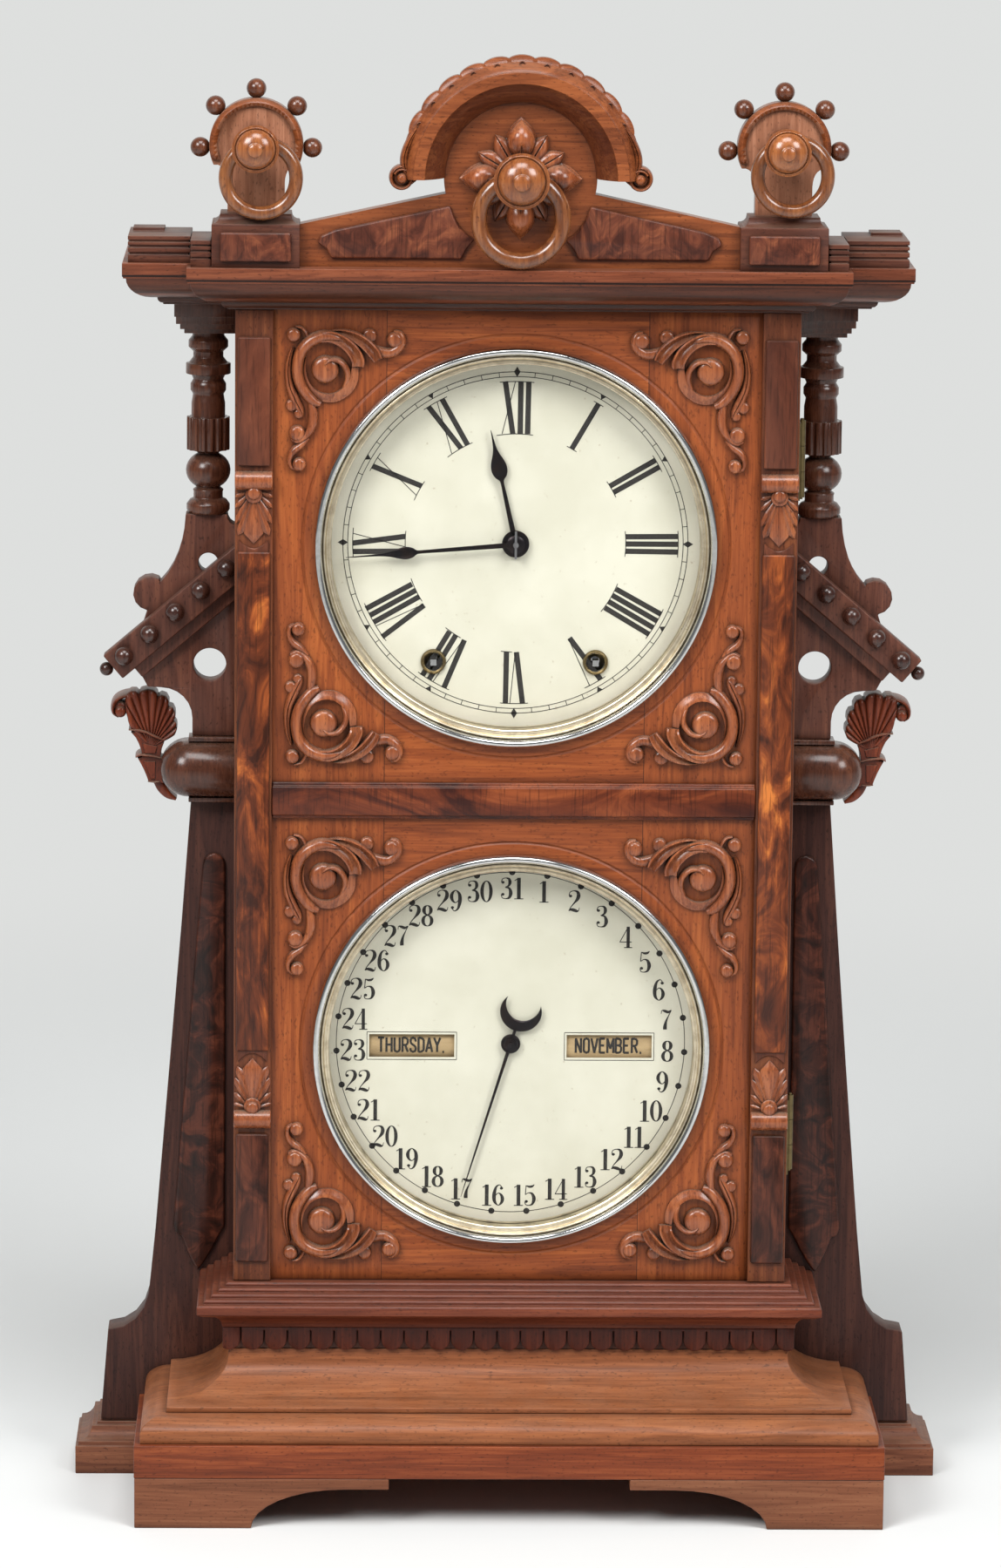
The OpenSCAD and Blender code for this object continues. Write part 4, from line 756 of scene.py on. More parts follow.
# %% Names on the drums
ALPHABET = {
    "A": [[(0, 0), (21, 100), (42, 0)], [(8, 30), (34, 30)]],
    "B": [[(3, 0), (3, 100), (25, 100), (38, 90), (38, 62), (25, 53), (3, 53)],
          [(25, 53), (40, 42), (40, 12), (27, 0), (3, 0)]],
    "C": [[(40, 70), (38, 88), (28, 100), (14, 100), (3, 88), (3, 12), (14, 0), (28, 0), (38, 12), (40, 30)]],
    "D": [[(3, 0), (3, 100), (22, 100), (39, 86), (39, 14), (22, 0), (3, 0)]],
    "E": [[(38, 100), (3, 100), (3, 0), (38, 0)], [(3, 52), (32, 52)]],
    "F": [[(38, 100), (3, 100), (3, 0)], [(3, 52), (32, 52)]],
    "G": [[(40, 70), (38, 88), (28, 100), (14, 100), (3, 88), (3, 12), (14, 0), (28, 0), (40, 12), (40, 45),
           (24, 45)]],
    "H": [[(3, 0), (3, 100)], [(39, 0), (39, 100)], [(3, 52), (39, 52)]],
    "I": [[(21, 0), (21, 100)]],
    "J": [[(36, 100), (36, 14), (27, 0), (13, 0), (3, 14), (3, 30)]],
    "L": [[(5, 100), (5, 0), (38, 0)]],
    "M": [[(0, 0), (0, 100), (21, 30), (42, 100), (42, 0)]],
    "N": [[(3, 0), (3, 100), (39, 0), (39, 100)]],
    "O": [[(28, 100), (14, 100), (3, 88), (3, 12), (14, 0), (28, 0), (39, 12), (39, 88), (28, 100)]],
    "P": [[(3, 0), (3, 100), (26, 100), (39, 90), (39, 58), (26, 47), (3, 47)]],
    "R": [[(3, 0), (3, 100), (26, 100), (39, 90), (39, 60), (26, 50), (3, 50)], [(22, 50), (40, 0)]],
    "S": [[(39, 74), (37, 90), (27, 100), (14, 100), (4, 90), (4, 68), (12, 57), (30, 45), (39, 33),
           (39, 12), (28, 0), (14, 0), (4, 10), (2, 27)]],
    "T": [[(0, 100), (42, 100)], [(21, 100), (21, 0)]],
    "U": [[(3, 100), (3, 14), (14, 0), (28, 0), (39, 14), (39, 100)]],
    "V": [[(0, 100), (21, 0), (42, 100)]],
    "W": [[(-4, 100), (9, 0), (21, 80), (33, 0), (46, 100)]],
    "Y": [[(0, 100), (21, 48), (42, 100)], [(21, 48), (21, 0)]],
    ".": [[(2, 0), (14, 0)]],
}
DAYS = "THURSDAY FRIDAY SATURDAY SUNDAY MONDAY TUESDAY WEDNESDAY".split()
MONTHS = "NOVEMBER DECEMBER JANUARY FEBRUARY MARCH APRIL MAY JUNE JULY AUGUST SEPTEMBER OCTOBER".split()
NAME_ROOM = 39.6


def word_strokes(word, v0, tall):
    """A word centred on the drum's front at height v0 along its skin, each stroke cut in short steps."""
    letters = word + "."
    pitch = min(0.6 * tall, NAME_ROOM / len(letters))
    x, out = -pitch * (len(letters) - 0.6) / 2, []
    for letter in letters:
        for line in (np.array(line) / 100 for line in ALPHABET[letter]):
            for a, b in zip(line[:-1], line[1:]):
                t = np.linspace(-0.02, 1.02, 5)[:, None]
                path = a + t * (b - a)
                out.append((path * (pitch / 0.56, tall) + (x, v0 - tall / 2), 0.078 * tall, False))
        x += pitch
    return out


def on_drum(side, radius):
    axis = 40.1 - radius
    return lambda u, v, t: spot(side * WINDOW_X + u, axis + (radius + t) * np.cos(v / radius),
                                Z_CAL + WINDOW_Z + (radius + t) * np.sin(v / radius))


for side, radius, words, name in ((-1, 15.1, DAYS, "day_roller"), (1, 26.0, MONTHS, "month_roller")):
    around = 2 * np.pi * radius / len(words)
    strokes = [s for k, w in enumerate(words) for s in word_strokes(w, k * around, 7.9)]
    inked(name + "_names", strokes, on_drum(side, radius), body_of[name])
    print(name, "names:", len(words))

# %% [markdown]
# ## Carving as swept reliefs
# A carver thinks in strokes too: a band of wood that curls, swells and ends in a ball. Each stroke
# here has a middle line, a half width and a height that change along it, and one cross-section. Its
# two ends close on a point, so a stroke is a solid skin standing on the board.

# %% Carved strokes and domes
ROUND = np.column_stack([np.cos(np.linspace(np.pi, 0, 13)), np.sin(np.linspace(np.pi, 0, 13)) ** 0.75])
FLUTED = np.array([(-1, 0), (-0.97, 0.62), (-0.84, 0.95), (-0.62, 1.0), (-0.3, 0.72), (0.0, 0.62),
                   (0.3, 0.72), (0.62, 1.0),
                   (0.84, 0.95), (0.97, 0.62), (1, 0)])
RIDGED = np.array([(-1, 0), (-0.95, 0.5), (-0.7, 0.62), (-0.35, 0.78), (-0.08, 1.0), (0.08, 1.0),
                   (0.35, 0.78), (0.7, 0.62),
                   (0.95, 0.5), (1, 0)])
SLOPED = np.array([(-1, 0), (-0.97, 0.8), (-0.85, 1.0), (-0.55, 0.95), (0.0, 0.75), (0.5, 0.55), (0.9, 0.42),
                   (1, 0)])
CREASED = np.array([(-1, 0), (-0.96, 0.42), (-0.8, 0.68), (-0.5, 0.92), (-0.22, 1.0), (-0.07, 0.93), (0, 0.7),
                    (0.07, 0.93),
                    (0.22, 1.0), (0.5, 0.92), (0.8, 0.68), (0.96, 0.42), (1, 0)])


def stroke(rows, section, base, place=spot, steps=6, sunk=0.35):
    """Rows (x, z, half, high) smoothed: a point is middle + normal * half * s, at base + high * t."""
    line = smooth(rows, steps) if steps > 1 else np.asarray(rows, float)
    middle, half, high = line[:, :2], line[:, 2], line[:, 3]
    side = normals_2d(middle)
    s, t = np.asarray(section, float).T
    flat = middle[:, None] + side[:, None] * (half[:, None] * s)[..., None]
    depth = np.where(t == 0, base - sunk, base + high[:, None] * t)
    tips = [np.column_stack([np.full(len(s), p[0]), np.full(len(s), p[1])])[None] for p in (middle[0],
            middle[-1])]
    flat = np.concatenate([tips[0], flat, tips[1]])
    depth = np.concatenate([np.full((1, len(s)), base + 0.4 * high[0]), depth,
                            np.full((1, len(s)), base + 0.4 * high[-1])])
    return grid(place(flat[..., 0], depth, flat[..., 1]), wrap_v=True)


def dome(x, z, r, high, base, place=spot, squash=0.62):
    """A flattened ball on the board: radius r times the root of cos a, height high sin^squash a."""
    a = np.linspace(0, np.pi / 2, 8)
    rr = np.concatenate([[0, r], r * np.cos(a) ** 0.5])
    tt = np.concatenate([[-0.35, -0.35], high * np.sin(a) ** squash])
    rr[-1] = 0.0
    t = np.radians(360.0 * np.arange(28) / 28)[:, None]
    return grid(place(x + rr * np.cos(t), base + tt + 0 * t, z + rr * np.sin(t)), wrap_u=True)


def mirrored(place, sx=1, sz=1, dx=0.0, dz=0.0):
    """The same drawing placed with x and z turned over about a centre."""
    return lambda x, f, z: place(dx + sx * x, f, dz + sz * z)


# %% [markdown]
# One corner scroll is drawn once, over the dial's upper left, in the units of a sheet laid on it. It
# is ten strokes and eight balls: a great C with two fluted leaf ends, a ring inside it with a spiral
# boss, a side leaf, a stem, and small curls. Turned over both ways it makes all eight.

# %% Corner scrolls
UNIT = 0.0667
SHEET_AT = (-129.14, 657.98 - Z_TIME)
SCROLL = {
    "great_c": ([(650, 404, 56, 70), (648, 350, 60, 84), (606, 272, 58, 88), (530, 205, 54, 84),
                 (440, 168, 52, 78), (350, 172, 44, 70)], FLUTED),
    "c_body": ([(560, 212, 8, 40), (490, 178, 38, 72), (400, 163, 50, 80), (330, 176, 54, 84),
                (256, 216, 54, 86), (198, 284, 52, 86), (170, 368, 50, 86), (166, 460, 50, 82),
                (190, 548, 50, 76), (238, 628, 48, 68), (296, 688, 44, 60), (350, 712, 28, 46)], ROUND),
    "upper_leaf": ([(812, 352, 42, 66), (776, 292, 54, 82), (706, 218, 52, 84), (622, 166, 44, 80),
                    (530, 134, 30, 72), (440, 124, 12, 56)], FLUTED),
    "ring": ([(628, 410, 30, 44), (612, 520, 40, 50), (560, 600, 42, 52), (470, 655, 40, 54),
              (370, 655, 36, 56), (285, 608, 32, 56),
              (232, 530, 28, 56), (212, 430, 22, 54), (225, 330, 14, 50)], SLOPED),
    "boss_curl": ([(530, 590, 14, 44), (566, 500, 26, 66), (556, 420, 30, 84), (500, 360, 30, 92),
                   (430, 352, 24, 94), (384, 386, 12, 92)], ROUND),
    "tail": ([(770, 255, 30, 40), (830, 288, 44, 52), (905, 296, 44, 56), (972, 258, 42, 58),
              (1004, 195, 34, 56), (985, 140, 26, 50),
              (935, 122, 14, 42)], ROUND),
    "side_leaf": ([(128, 250, 14, 30), (100, 350, 26, 44), (90, 460, 32, 48), (105, 570, 38, 48),
                   (145, 670, 42, 46), (190, 760, 34, 40),
                   (212, 815, 8, 30)], CREASED),
    "stem": ([(275, 700, 30, 46), (290, 780, 42, 56), (288, 860, 42, 60), (262, 930, 36, 60),
              (215, 985, 28, 56), (165, 1010, 24, 52),
              (118, 990, 18, 46)], ROUND),
    "foot": ([(258, 985, 14, 40), (200, 1040, 30, 52), (140, 1085, 34, 54), (106, 1145, 26, 54),
              (110, 1205, 22, 52), (150, 1235, 14, 44)], ROUND),
    "top_curl": ([(255, 215, 14, 40), (238, 150, 18, 46), (200, 102, 16, 44), (150, 90, 12, 40)], ROUND),
}
SCROLL_BALLS = [(134, 156, 60, 66), (388, 430, 116, 84), (945, 190, 66, 68), (165, 945, 68, 66),
                (180, 1195, 58, 66), (118, 722, 50, 38),
                (178, 790, 42, 34), (742, 160, 62, 50)]


def scroll(place):
    """All strokes of one corner, scaled from sheet units to millimetres."""
    scale, shift = np.array([UNIT, -UNIT * 1.007, UNIT, UNIT]), np.array([SHEET_AT[0], SHEET_AT[1], 0, 0])
    shells = [stroke(np.array(rows, float) * scale + shift, section, F_FACE, place) for rows,
              section in SCROLL.values()]
    for u, v, r, h in SCROLL_BALLS:
        shells.append(dome(SHEET_AT[0] + UNIT * u, SHEET_AT[1] - UNIT * 1.007 * v, UNIT * r, UNIT * h, F_FACE,
                           place))
    return shells


shells = []
for zc in (Z_TIME, Z_CAL):
    for sx in (1, -1):
        for sz in (1, -1):
            shells += scroll(mirrored(spot, sx, sz, 0, zc))
build("corner_scrolls", shells, wood["carved"], body_of["corner_carvings"], ["corner_carvings"], 50)
print("corner scrolls: 8 of", len(SCROLL) + len(SCROLL_BALLS), "shells each")

# %% [markdown]
# ## The stiles' shells and the palmettes
# Each stile carries a level roll with a fan of leaves under it, and the same turned over near its
# foot. The leaves are kite shapes with a soft ridge. The palmette is a lobed fan of ribs over two
# tapers under collars, with a volute that curls round a button at its side.

# %% Shells on the stiles
STILE_MID, STILE_HW = 141.3, 10.15
LEAVES = [[(0, -11.8, 1.2, 1.3), (0, -20, 3.4, 2.0), (0, -28.4, 5.5, 2.4), (0, -30.5, 3.6, 1.9),
           (0, -34.2, 0.1, 0.9)],
          [(1.6, -11.4, 0.8, 1.2), (4.7, -20, 1.8, 2.0), (7.1, -27, 2.2, 2.1), (8.3, -29.6, 0.3, 0.9)],
          [(3.0, -10.4, 0.7, 1.1), (6.1, -16, 1.6, 1.8), (8.3, -20.6, 1.7, 1.8), (9.5, -23.2, 0.3, 0.8)],
          [(4.0, -8.8, 0.6, 1.1), (6.9, -11.6, 1.3, 1.6), (8.8, -13.6, 1.3, 1.6), (10.0, -14.8, 0.2, 0.8)],
          [(4.2, -6.8, 0.6, 1.0), (7.2, -7.7, 1.1, 1.5), (9.0, -8.4, 1.1, 1.4), (10.1, -8.9, 0.2, 0.8)]]


def shell_fan(place):
    """Nine kite leaves under a cup with a half ball, four of them turned over about the middle."""
    shells = [stroke(np.array(rows) * (side, 1, 1, 1), RIDGED, F_STILE, place, 1) for k,
              rows in enumerate(LEAVES) for side in ((1,) if k == 0 else (1, -1))]
    return shells + [dome(0, -7.6, 4.7, 2.3, F_STILE, place, squash=0.3),
                     dome(0, -6.6, 3.8, 3.9, F_STILE, place)]


ROLL_R = 5.2


def roll_across(place):
    """The roll lying across the stile, with ends eased by half a millimetre."""
    a = np.radians(np.arange(0, 361, 12))[:, None]
    r = np.array([0, ROLL_R - 0.5, ROLL_R, ROLL_R, ROLL_R - 0.5, 0])
    x = np.array([-STILE_HW, -STILE_HW, -STILE_HW + 0.5, STILE_HW - 0.5, STILE_HW, STILE_HW])
    return grid(place(x + 0 * a, F_STILE + r * np.sin(a), r * np.cos(a)))


PANEL_HALF, PANEL_END, HOLLOW = 7.8, -39.6, -36.7


def panel_horns(place):
    """The burl panel's hollowed end: from its straight edge up to hollow + 4.5 (x / half width)^2."""
    x = np.linspace(-PANEL_HALF, PANEL_HALF, 25)
    low, high = 0 * x + PANEL_END, HOLLOW + 4.5 * (x / PANEL_HALF) ** 2
    z = np.stack([low, low, high - 0.5, high, high], 1)
    depth = np.array([0, 1.05, 1.05, 0.6, 0]) + F_STILE
    ends = np.repeat(z[[0, -1]].mean(1)[:, None], 5, 1)
    z = np.vstack([ends[:1], z, ends[1:]])
    x = np.concatenate([x[:1], x, x[-1:]])[:, None]
    return grid(place(x + 0 * z, depth + 0 * z, z), wrap_v=True)


shells, horns = [], []
for side in (-1, 1):
    for z, sz in ((569.1, 1), (216.8, -1)):
        place = mirrored(spot, side, sz, side * STILE_MID, z)
        shells += shell_fan(place) + [roll_across(place)]
        horns.append(panel_horns(place))
build("shell_fans", shells, wood["carved"], body_of["stile_carvings"], ["stile_carvings"], 30)
build("stile_panel_horns", horns, high_veneer, body_of["stile_panels"], slot=slot_of["stile_panels"])
print("shells:", len(shells))

# %% Palmettes
PALM = np.array([0.0877, -0.0895])
PALM_AT = np.array([-223.9, 467.9])
ROOT = np.array([290.0, 640.0])
LOBED = np.array([(-47, 177), (-38, 242), (-34, 290), (-27.6, 350), (-23.8, 370), (-19.5, 375), (-15, 366),
                  (-12.8, 346), (-10.4, 361), (-3.1, 367),
                  (3.2, 359), (6.7, 342), (7.7, 322), (11, 338), (16.5, 335), (21.3, 311), (23.3, 284),
                  (28.2, 288), (33.7, 271), (38.8, 244),
                  (40.7, 224), (46.8, 220), (54.6, 200), (61.9, 170), (64, 123)])
GROOVES = [-47, -30, -21.4, -12.8, -3.2, 7.7, 15.6, 23.3, 32, 40.7, 51, 64]
SLAB = np.array([(-1, 0), (-1, 0.88), (-0.85, 0.95), (-0.5, 0.99), (0, 1), (0.5, 0.99), (0.85, 0.95),
                 (1, 0.88), (1, 0)])


def fan_plate(outline, centre, back, front, place, ease=0.0):
    """A flat plate with a star-shaped outline, drawn as spokes; its front rim is drawn in by the easing."""
    p, c = np.array(outline, float), np.array(centre, float)
    q = p + (c - p) * ease / np.linalg.norm(p - c, axis=1, keepdims=True)
    ring = np.stack([c + 0 * p, p, p, q, c + 0 * p], 1)
    depth = np.array([back, back, front - ease, front, front]) + 0 * ring[..., 0]
    return grid(place(ring[..., 0], depth, ring[..., 1]), wrap_u=True)


PALM_BACK, PALM_FRONT = -18.0, -4.6


def lobed_fan(place):
    """Spokes at angle a; at share s of the rim the front rises by 1.7 |sin(pi phase)|^0.5 s^0.5 in a rib."""
    a = np.linspace(-47, 64, 223)
    phase = np.interp(a, GROOVES, np.arange(len(GROOVES)))
    rib = np.abs(np.sin(np.pi * phase)) ** 0.5
    share = np.array([0, 1, 1, 0.99, 0.96, 0.9, 0.75, 0.5, 0.25, 0])
    drop = np.array([0, 0, -2.4, -1.2, -0.4, 0, 0, 0, 0, 0])
    depth = np.where(np.arange(10) < 2, PALM_BACK, PALM_FRONT + drop + 1.7 * rib[:, None] * np.sqrt(share))
    radius = np.interp(a, *LOBED.T)[:, None] * share
    turn_by = np.radians(a)[:, None]
    flat = (np.stack([ROOT[0] + radius * np.sin(turn_by), ROOT[1] - radius * np.cos(turn_by)],
                     -1)) * PALM + PALM_AT
    ends = [np.full((1, 10, 2), flat[k, :3].mean(0)) for k in (0, -1)]
    flat = np.concatenate([ends[0], flat, ends[1]])
    middle = np.full((1, 10), (PALM_BACK + PALM_FRONT) / 2)
    depth = np.concatenate([middle, depth, middle])
    return grid(place(flat[..., 0], depth, flat[..., 1]), wrap_v=True)


PALM_BANDS = [(ROUND, [(190, 326, 34, 13.8), (146, 318, 22, 14.4), (104, 328, 20, 14.6), (70, 352, 20, 14.8),
                       (52, 392, 18, 14.8), (56, 428, 16, 14.6),
                       (84, 452, 10, 14.2)]),
              (ROUND, [(150, 530, 8, 14.8), (200, 530, 17, 15.8), (260, 545, 17, 16.0), (320, 572, 17, 16.0),
                       (376, 594, 9, 15.2)]),
              (ROUND, [(194, 702, 8, 14.8), (222, 687, 14, 15.6), (284, 690, 15, 15.8), (350, 704, 9, 15.0)]),
              (ROUND, [(270, 852, 9, 14.4), (306, 856, 10, 14.8), (344, 852, 9, 14.4)]),
              (SLAB, [(330, 850, 30, 11.0), (356, 900, 30, 11.0), (396, 944, 24, 10.6),
                      (446, 972, 10, 10.0)])]
PALM_PLATES = [([(165, 545), (195, 580), (215, 620), (230, 665), (234, 700), (350, 700), (356, 650),
                 (370, 612), (376, 594), (330, 570), (250, 540)], (290, 630), -17.9, -4.4),
               ([(205, 705), (225, 740), (245, 780), (262, 820), (275, 858), (366, 862), (356, 800),
                 (354, 750), (364, 704), (280, 690)], (300, 780), -17.95, -4.6),
               ([(236, 612), (330, 632), (318, 676), (250, 676)], (284, 650), -10, -3.7),
               ([(246, 724), (318, 724), (314, 836), (290, 836)], (292, 770), -10, -3.8)]


def palmette(place):
    """A lobed fan, a volute with its button, and two tapers under collars, in millimetres."""
    shells = [lobed_fan(place)]
    for section, rows in PALM_BANDS:
        rows = np.array(rows, float)
        rows[:, :2] = rows[:, :2] * PALM + PALM_AT
        rows[:, 2] *= PALM[0]
        shells.append(stroke(rows, section, PALM_BACK, place, sunk=-0.2))
    for x, z, r, h in ((94, 396, 46, 12.5), (98, 418, 38, 14.9)):
        shells.append(dome(*(np.array([x, z]) * PALM + PALM_AT), r * PALM[0], h, -17.5, place, squash=0.2))
    return shells + [fan_plate(np.array(rim) * PALM + PALM_AT, np.array(mid) * PALM + PALM_AT, back, front,
                               place, 0.35)
                     for rim, mid, back, front in PALM_PLATES]


build("carved_palmettes", palmette(spot) + palmette(mirrored(spot, -1)), wood["palmette"],
      body_of["palmettes"], ["palmettes"], 45)

# %% [markdown]
# ## The crest
# The hood over the crest's disc is half a turned ring whose outer edge is then cut into scallops, so
# its section is constant but for the rim. The rim's radius is 63.9 mm plus a row of bumps, one for
# each of eleven sunk dots, and it runs out smooth below them.

# %% The hood
HOOD = np.array([(39.9, 74), (40.3, 76), (41.8, 79.5), (44.6, 83.6), (47.6, 87.0), (50.9, 89.3), (51.2, 90),
                 (57.0, 90), (57.35, 89.7),
                 (57.5, 88.9), (58.6, 88.2), (60.2, 86.4), (61.3, 84.2), (62.4, 82.6), (63.9, 82.2)])
HOOD_FACE, BUMP, DOT_R = 79, 1.9, 61.2
FIRST_DOT, DOT_STEP = 28, 12.4
DOTS = np.radians(np.linspace(FIRST_DOT, 152, 11))


def rim_bumps(angle):
    """0 at the notches between dots, 1 over each dot; it fades out below the first and last."""
    phase = (np.degrees(angle) - FIRST_DOT) / DOT_STEP
    inside = (phase > -0.5) & (phase < 10.5)
    return np.where(inside, np.abs(np.cos(np.pi * phase)) ** 0.55, 0.25)


angle = np.radians(np.linspace(0, 180, 361))[:, None]
r = np.concatenate([HOOD[:, 0], [63.9, 60.5, 58.5]]) + 0 * angle
f = np.concatenate([HOOD[:, 1], [76.5, 74.6, 74.0]])
grow = rim_bumps(angle) * BUMP
r = r + np.concatenate([np.zeros(12), [0.15, 0.45, 1.0, 1.0, 0.7, 0.0]]) * grow
ends = [np.column_stack([np.full(r.shape[1], 51.0), np.full(r.shape[1], 79.0)])] * 2
rr = np.vstack([ends[0][:, 0], r, ends[1][:, 0]])
ff = np.vstack([ends[0][:, 1], f + 0 * r, ends[1][:, 1]])
aa = np.concatenate([[0.0], angle[:, 0], [np.pi]])[:, None]
shells = [grid(spot(rr * np.cos(aa), ff, Z_DISC + rr * np.sin(aa)), wrap_v=True)]
for side in (-1, 1):
    at = mirrored(spot, side, 1, side * 63.1, Z_DISC + 0.4)
    turn_by = np.radians(np.linspace(110, -330, 34))
    radius = np.linspace(6.2, 4.4, 34)
    rows = np.column_stack([radius * np.cos(turn_by), radius * np.sin(turn_by), np.linspace(1.3, 1.0, 34),
                            np.linspace(6.0, 7.0, 34)])
    shells += [stroke(rows, ROUND, HOOD_FACE, at, 1), dome(0, 0, 5.6, 3.8, HOOD_FACE, at),
               dome(0, 0, 3.0, 8.6, HOOD_FACE, at)]
    leaf = [(-6.5, -2.2, 2.0, 4), (-2.4, 3.2, 2.4, 5), (-1.2, 11, 2.3, 5.4), (-4.2, 20, 2.0, 5),
            (-9.6, 28.5, 1.4, 4), (-13, 33, 0.3, 3)]
    shells.append(stroke(leaf, CREASED, 80.5, at))
build("hood_over_disc", shells, wood["crown"], body_of["crest_hood"], ["crest_hood"], 38)
# Painted shade: the cove inside the hood's front rim gets the darker cove shade wood.
second_finish("hood_over_disc", wood["cove_shade"],
              lambda x, f, z: (np.hypot(x, z - Z_DISC) < 50.95) & (f < 89.2))

dimples = []
for a in DOTS:
    x, z = DOT_R * math.cos(a), Z_DISC + DOT_R * math.sin(a)
    dimples.append(lathe([(0, -0.6), (0.9, -0.4), (1.3, 0.35), (1.6, 0.15), (1.6, -1.4), (0, -1.4)], x, z,
                         84.9, 18))
build("hood_dots", dimples, wood["case"], body_of["crest_hood"], slot="walnut")
print("hood rings", len(rr), "dots", len(dimples))

# %% [markdown]
# The rosette has four plump petals with a crease at the root, each set on a thin pointed leaf, and a
# pair of small leaves between neighbours. Petal and leaf are strokes along a spoke.

# %% The rosette
PETAL_BASE = 74


def spoke(rows, degrees, section):
    """A stroke drawn upwards from the rosette's middle, then turned clockwise by an angle."""
    rows = np.array(rows, float)
    rows[:, :2] = turned_to(rows[:, :2], math.radians(degrees)) + (0, Z_DISC)
    return stroke(rows, section, PETAL_BASE)


petal = [(0, 11.5, 4.0, 6.0), (0, 14, 6.0, 7.8), (0, 17, 7.4, 9.2), (0, 20.5, 7.7, 9.8), (0, 24, 6.8, 9.2),
         (0, 27.2, 4.6, 7.2), (0, 29.6, 2.4, 4.8),
         (0, 31.6, 0.3, 2.8)]
crease = [(0, 11.8, 1.5, 8.0), (0, 14, 1.3, 8.9), (0, 17, 0.9, 9.5), (0, 20, 0.25, 9.6)]
sepal = [(0, 11.5, 6.0, 2.0), (0, 16, 8.0, 2.4), (0, 21, 8.4, 2.6), (0, 26, 6.4, 2.6), (0, 30.0, 3.0, 2.4),
         (0, 32.6, 0.2, 2.0)]
small = [(0, 9, 3.0, 3.4), (0, 13, 4.6, 4.2), (0, 17.5, 5.4, 4.4), (0, 21.5, 4.4, 4.0), (0, 24.6, 2.2, 3.2),
         (0, 26.8, 0.2, 2.2)]
shells = []
for k in range(4):
    shells += [spoke(petal, 90 * k, ROUND), spoke(crease, 90 * k, CREASED), spoke(sepal, 90 * k, ROUND)]
    shells += [spoke(small, 90 * k + s, CREASED) for s in (31, 59)]
shells.append(lathe([(0, 0), (13, 0), (13, 2.2), (12, 3.2), (0, 3.2)], 0, Z_DISC, PETAL_BASE, 48))
build("petals", shells, wood["carved"], body_of["rosette"], ["rosette"], 40)

# %% [markdown]
# ## Bezels
# A bezel is spun from brass and plated: a fat outer roll, a shallow valley, and a fine bead where the
# glass sits. Its outline is the solid's, with the small steps cut in.

# %% Bezels
ROLL = [(101.95, 48), (101.95, 58), (109.1, 58), *arc(106.8, 60.5, 2.38, 3.9, -20, 168, 18), (104.3, 60.4),
        (104.0, 60.2), (104.0, 58.6), (101.05, 57.5), (101.05, 48)]
LIP = [(101.0, 58.0), (104.0, 58.7), (104.2, 60.3), *arc(103.4, 60.6, 0.75, 1.25, 20, 165, 8), (102.5, 60.7),
       (102.3, 60.3), (101.4, 60.4), (101.1, 60.0), (100.2, 60.0), (99.8, 59.7), (99.6, 59.2), (99.6, 53.45),
       (101.0, 53.45)]
SEAT = [(101.05, 48), (101.05, 51.35), (99.6, 51.35), (99.6, 48)]


def closed_ring(profile, x, z, turns=180):
    """A section (r, f) turned full circle and closed on itself."""
    r, f = np.array(profile, float).T
    a = np.radians(360.0 * np.arange(turns) / turns)[:, None]
    return grid(spot(x + r * np.cos(a), f + 0 * a, z + r * np.sin(a)), wrap_u=True, wrap_v=True)


build("spun_bezels", [closed_ring(ROLL, 0, z) for z in (Z_TIME, Z_CAL)], nickel, body_of["dial_bezels"],
      ["dial_bezels"], 28)
lips = [closed_ring(part, 0, z) for part in (LIP, SEAT) for z in (Z_TIME, Z_CAL)]
build("bezel_lips", lips, rubbed_nickel, body_of["dial_bezels"], sharp=28, slot=slot_of["dial_bezels"])

# %% [markdown]
# ## Hands
# The hands are filed from thin steel and blued. The hour hand's leaf is widest just past its start
# and runs out to a long point; the minute hand's is slimmer. The edges are rounded over by the file.

# %% Hands
THIN_PLATE = np.array([(-1, 0), (-1, 0.55), (-0.8, 1.0), (0.8, 1.0), (1, 0.55), (1, 0)])


def hand(rows, degrees, z, base, thick):
    """Rows (distance from the arbor, half width) laid along a direction, counterclockwise from up."""
    rows = np.array(rows, float)
    line = smooth(np.column_stack([0 * rows[:, 0], rows[:, 0], rows[:, 1], 0 * rows[:, 0] + thick]), 5)
    line[:, :2] = turned_to(line[:, :2], -math.radians(degrees)) + (0, z)
    return stroke(line, THIN_PLATE, base, spot, 1, sunk=0.0)


HOUR = [(5, 1.5), (15, 1.3), (27, 1.1), (34, 0.95), (35.8, 1.5), (37.6, 3.1), (40.2, 4.15), (43, 4.3),
        (46, 3.6), (49.5, 2.2), (53, 1.15),
        (57.5, 0.6), (61, 0.35), (63.5, 0.15)]
MINUTE = [(3.5, 1.4), (20, 1.25), (40, 1.05), (51.5, 0.95), (53.8, 1.3), (55.6, 2.5), (58, 3.25),
          (60.6, 3.35), (64, 2.6), (68, 1.5), (73, 0.8),
          (80, 0.45), (87, 0.3), (92, 0.15)]
HOUR_TURN, MINUTE_TURN, DATE_TURN, DATE_BASE = 12.7, 94.7, 162.9, 44.2
DATE = [(4, 1.0), (20, 0.8), (45, 0.65), (65, 0.5), (80, 0.32), (90.5, 0.12)]


def hand_shells(outline, degrees, z, base, thick, hub_r, hole_r):
    """The blade and a flat hub ring with its hole."""
    hub = [(hole_r, 0), (hub_r, 0), (hub_r, 0.6 * thick), (hub_r - 0.3, thick), (hole_r, thick)]
    return [hand(outline, degrees, z, base, thick), closed_ring([(r, base + t) for r, t in hub], 0, z, 60)]


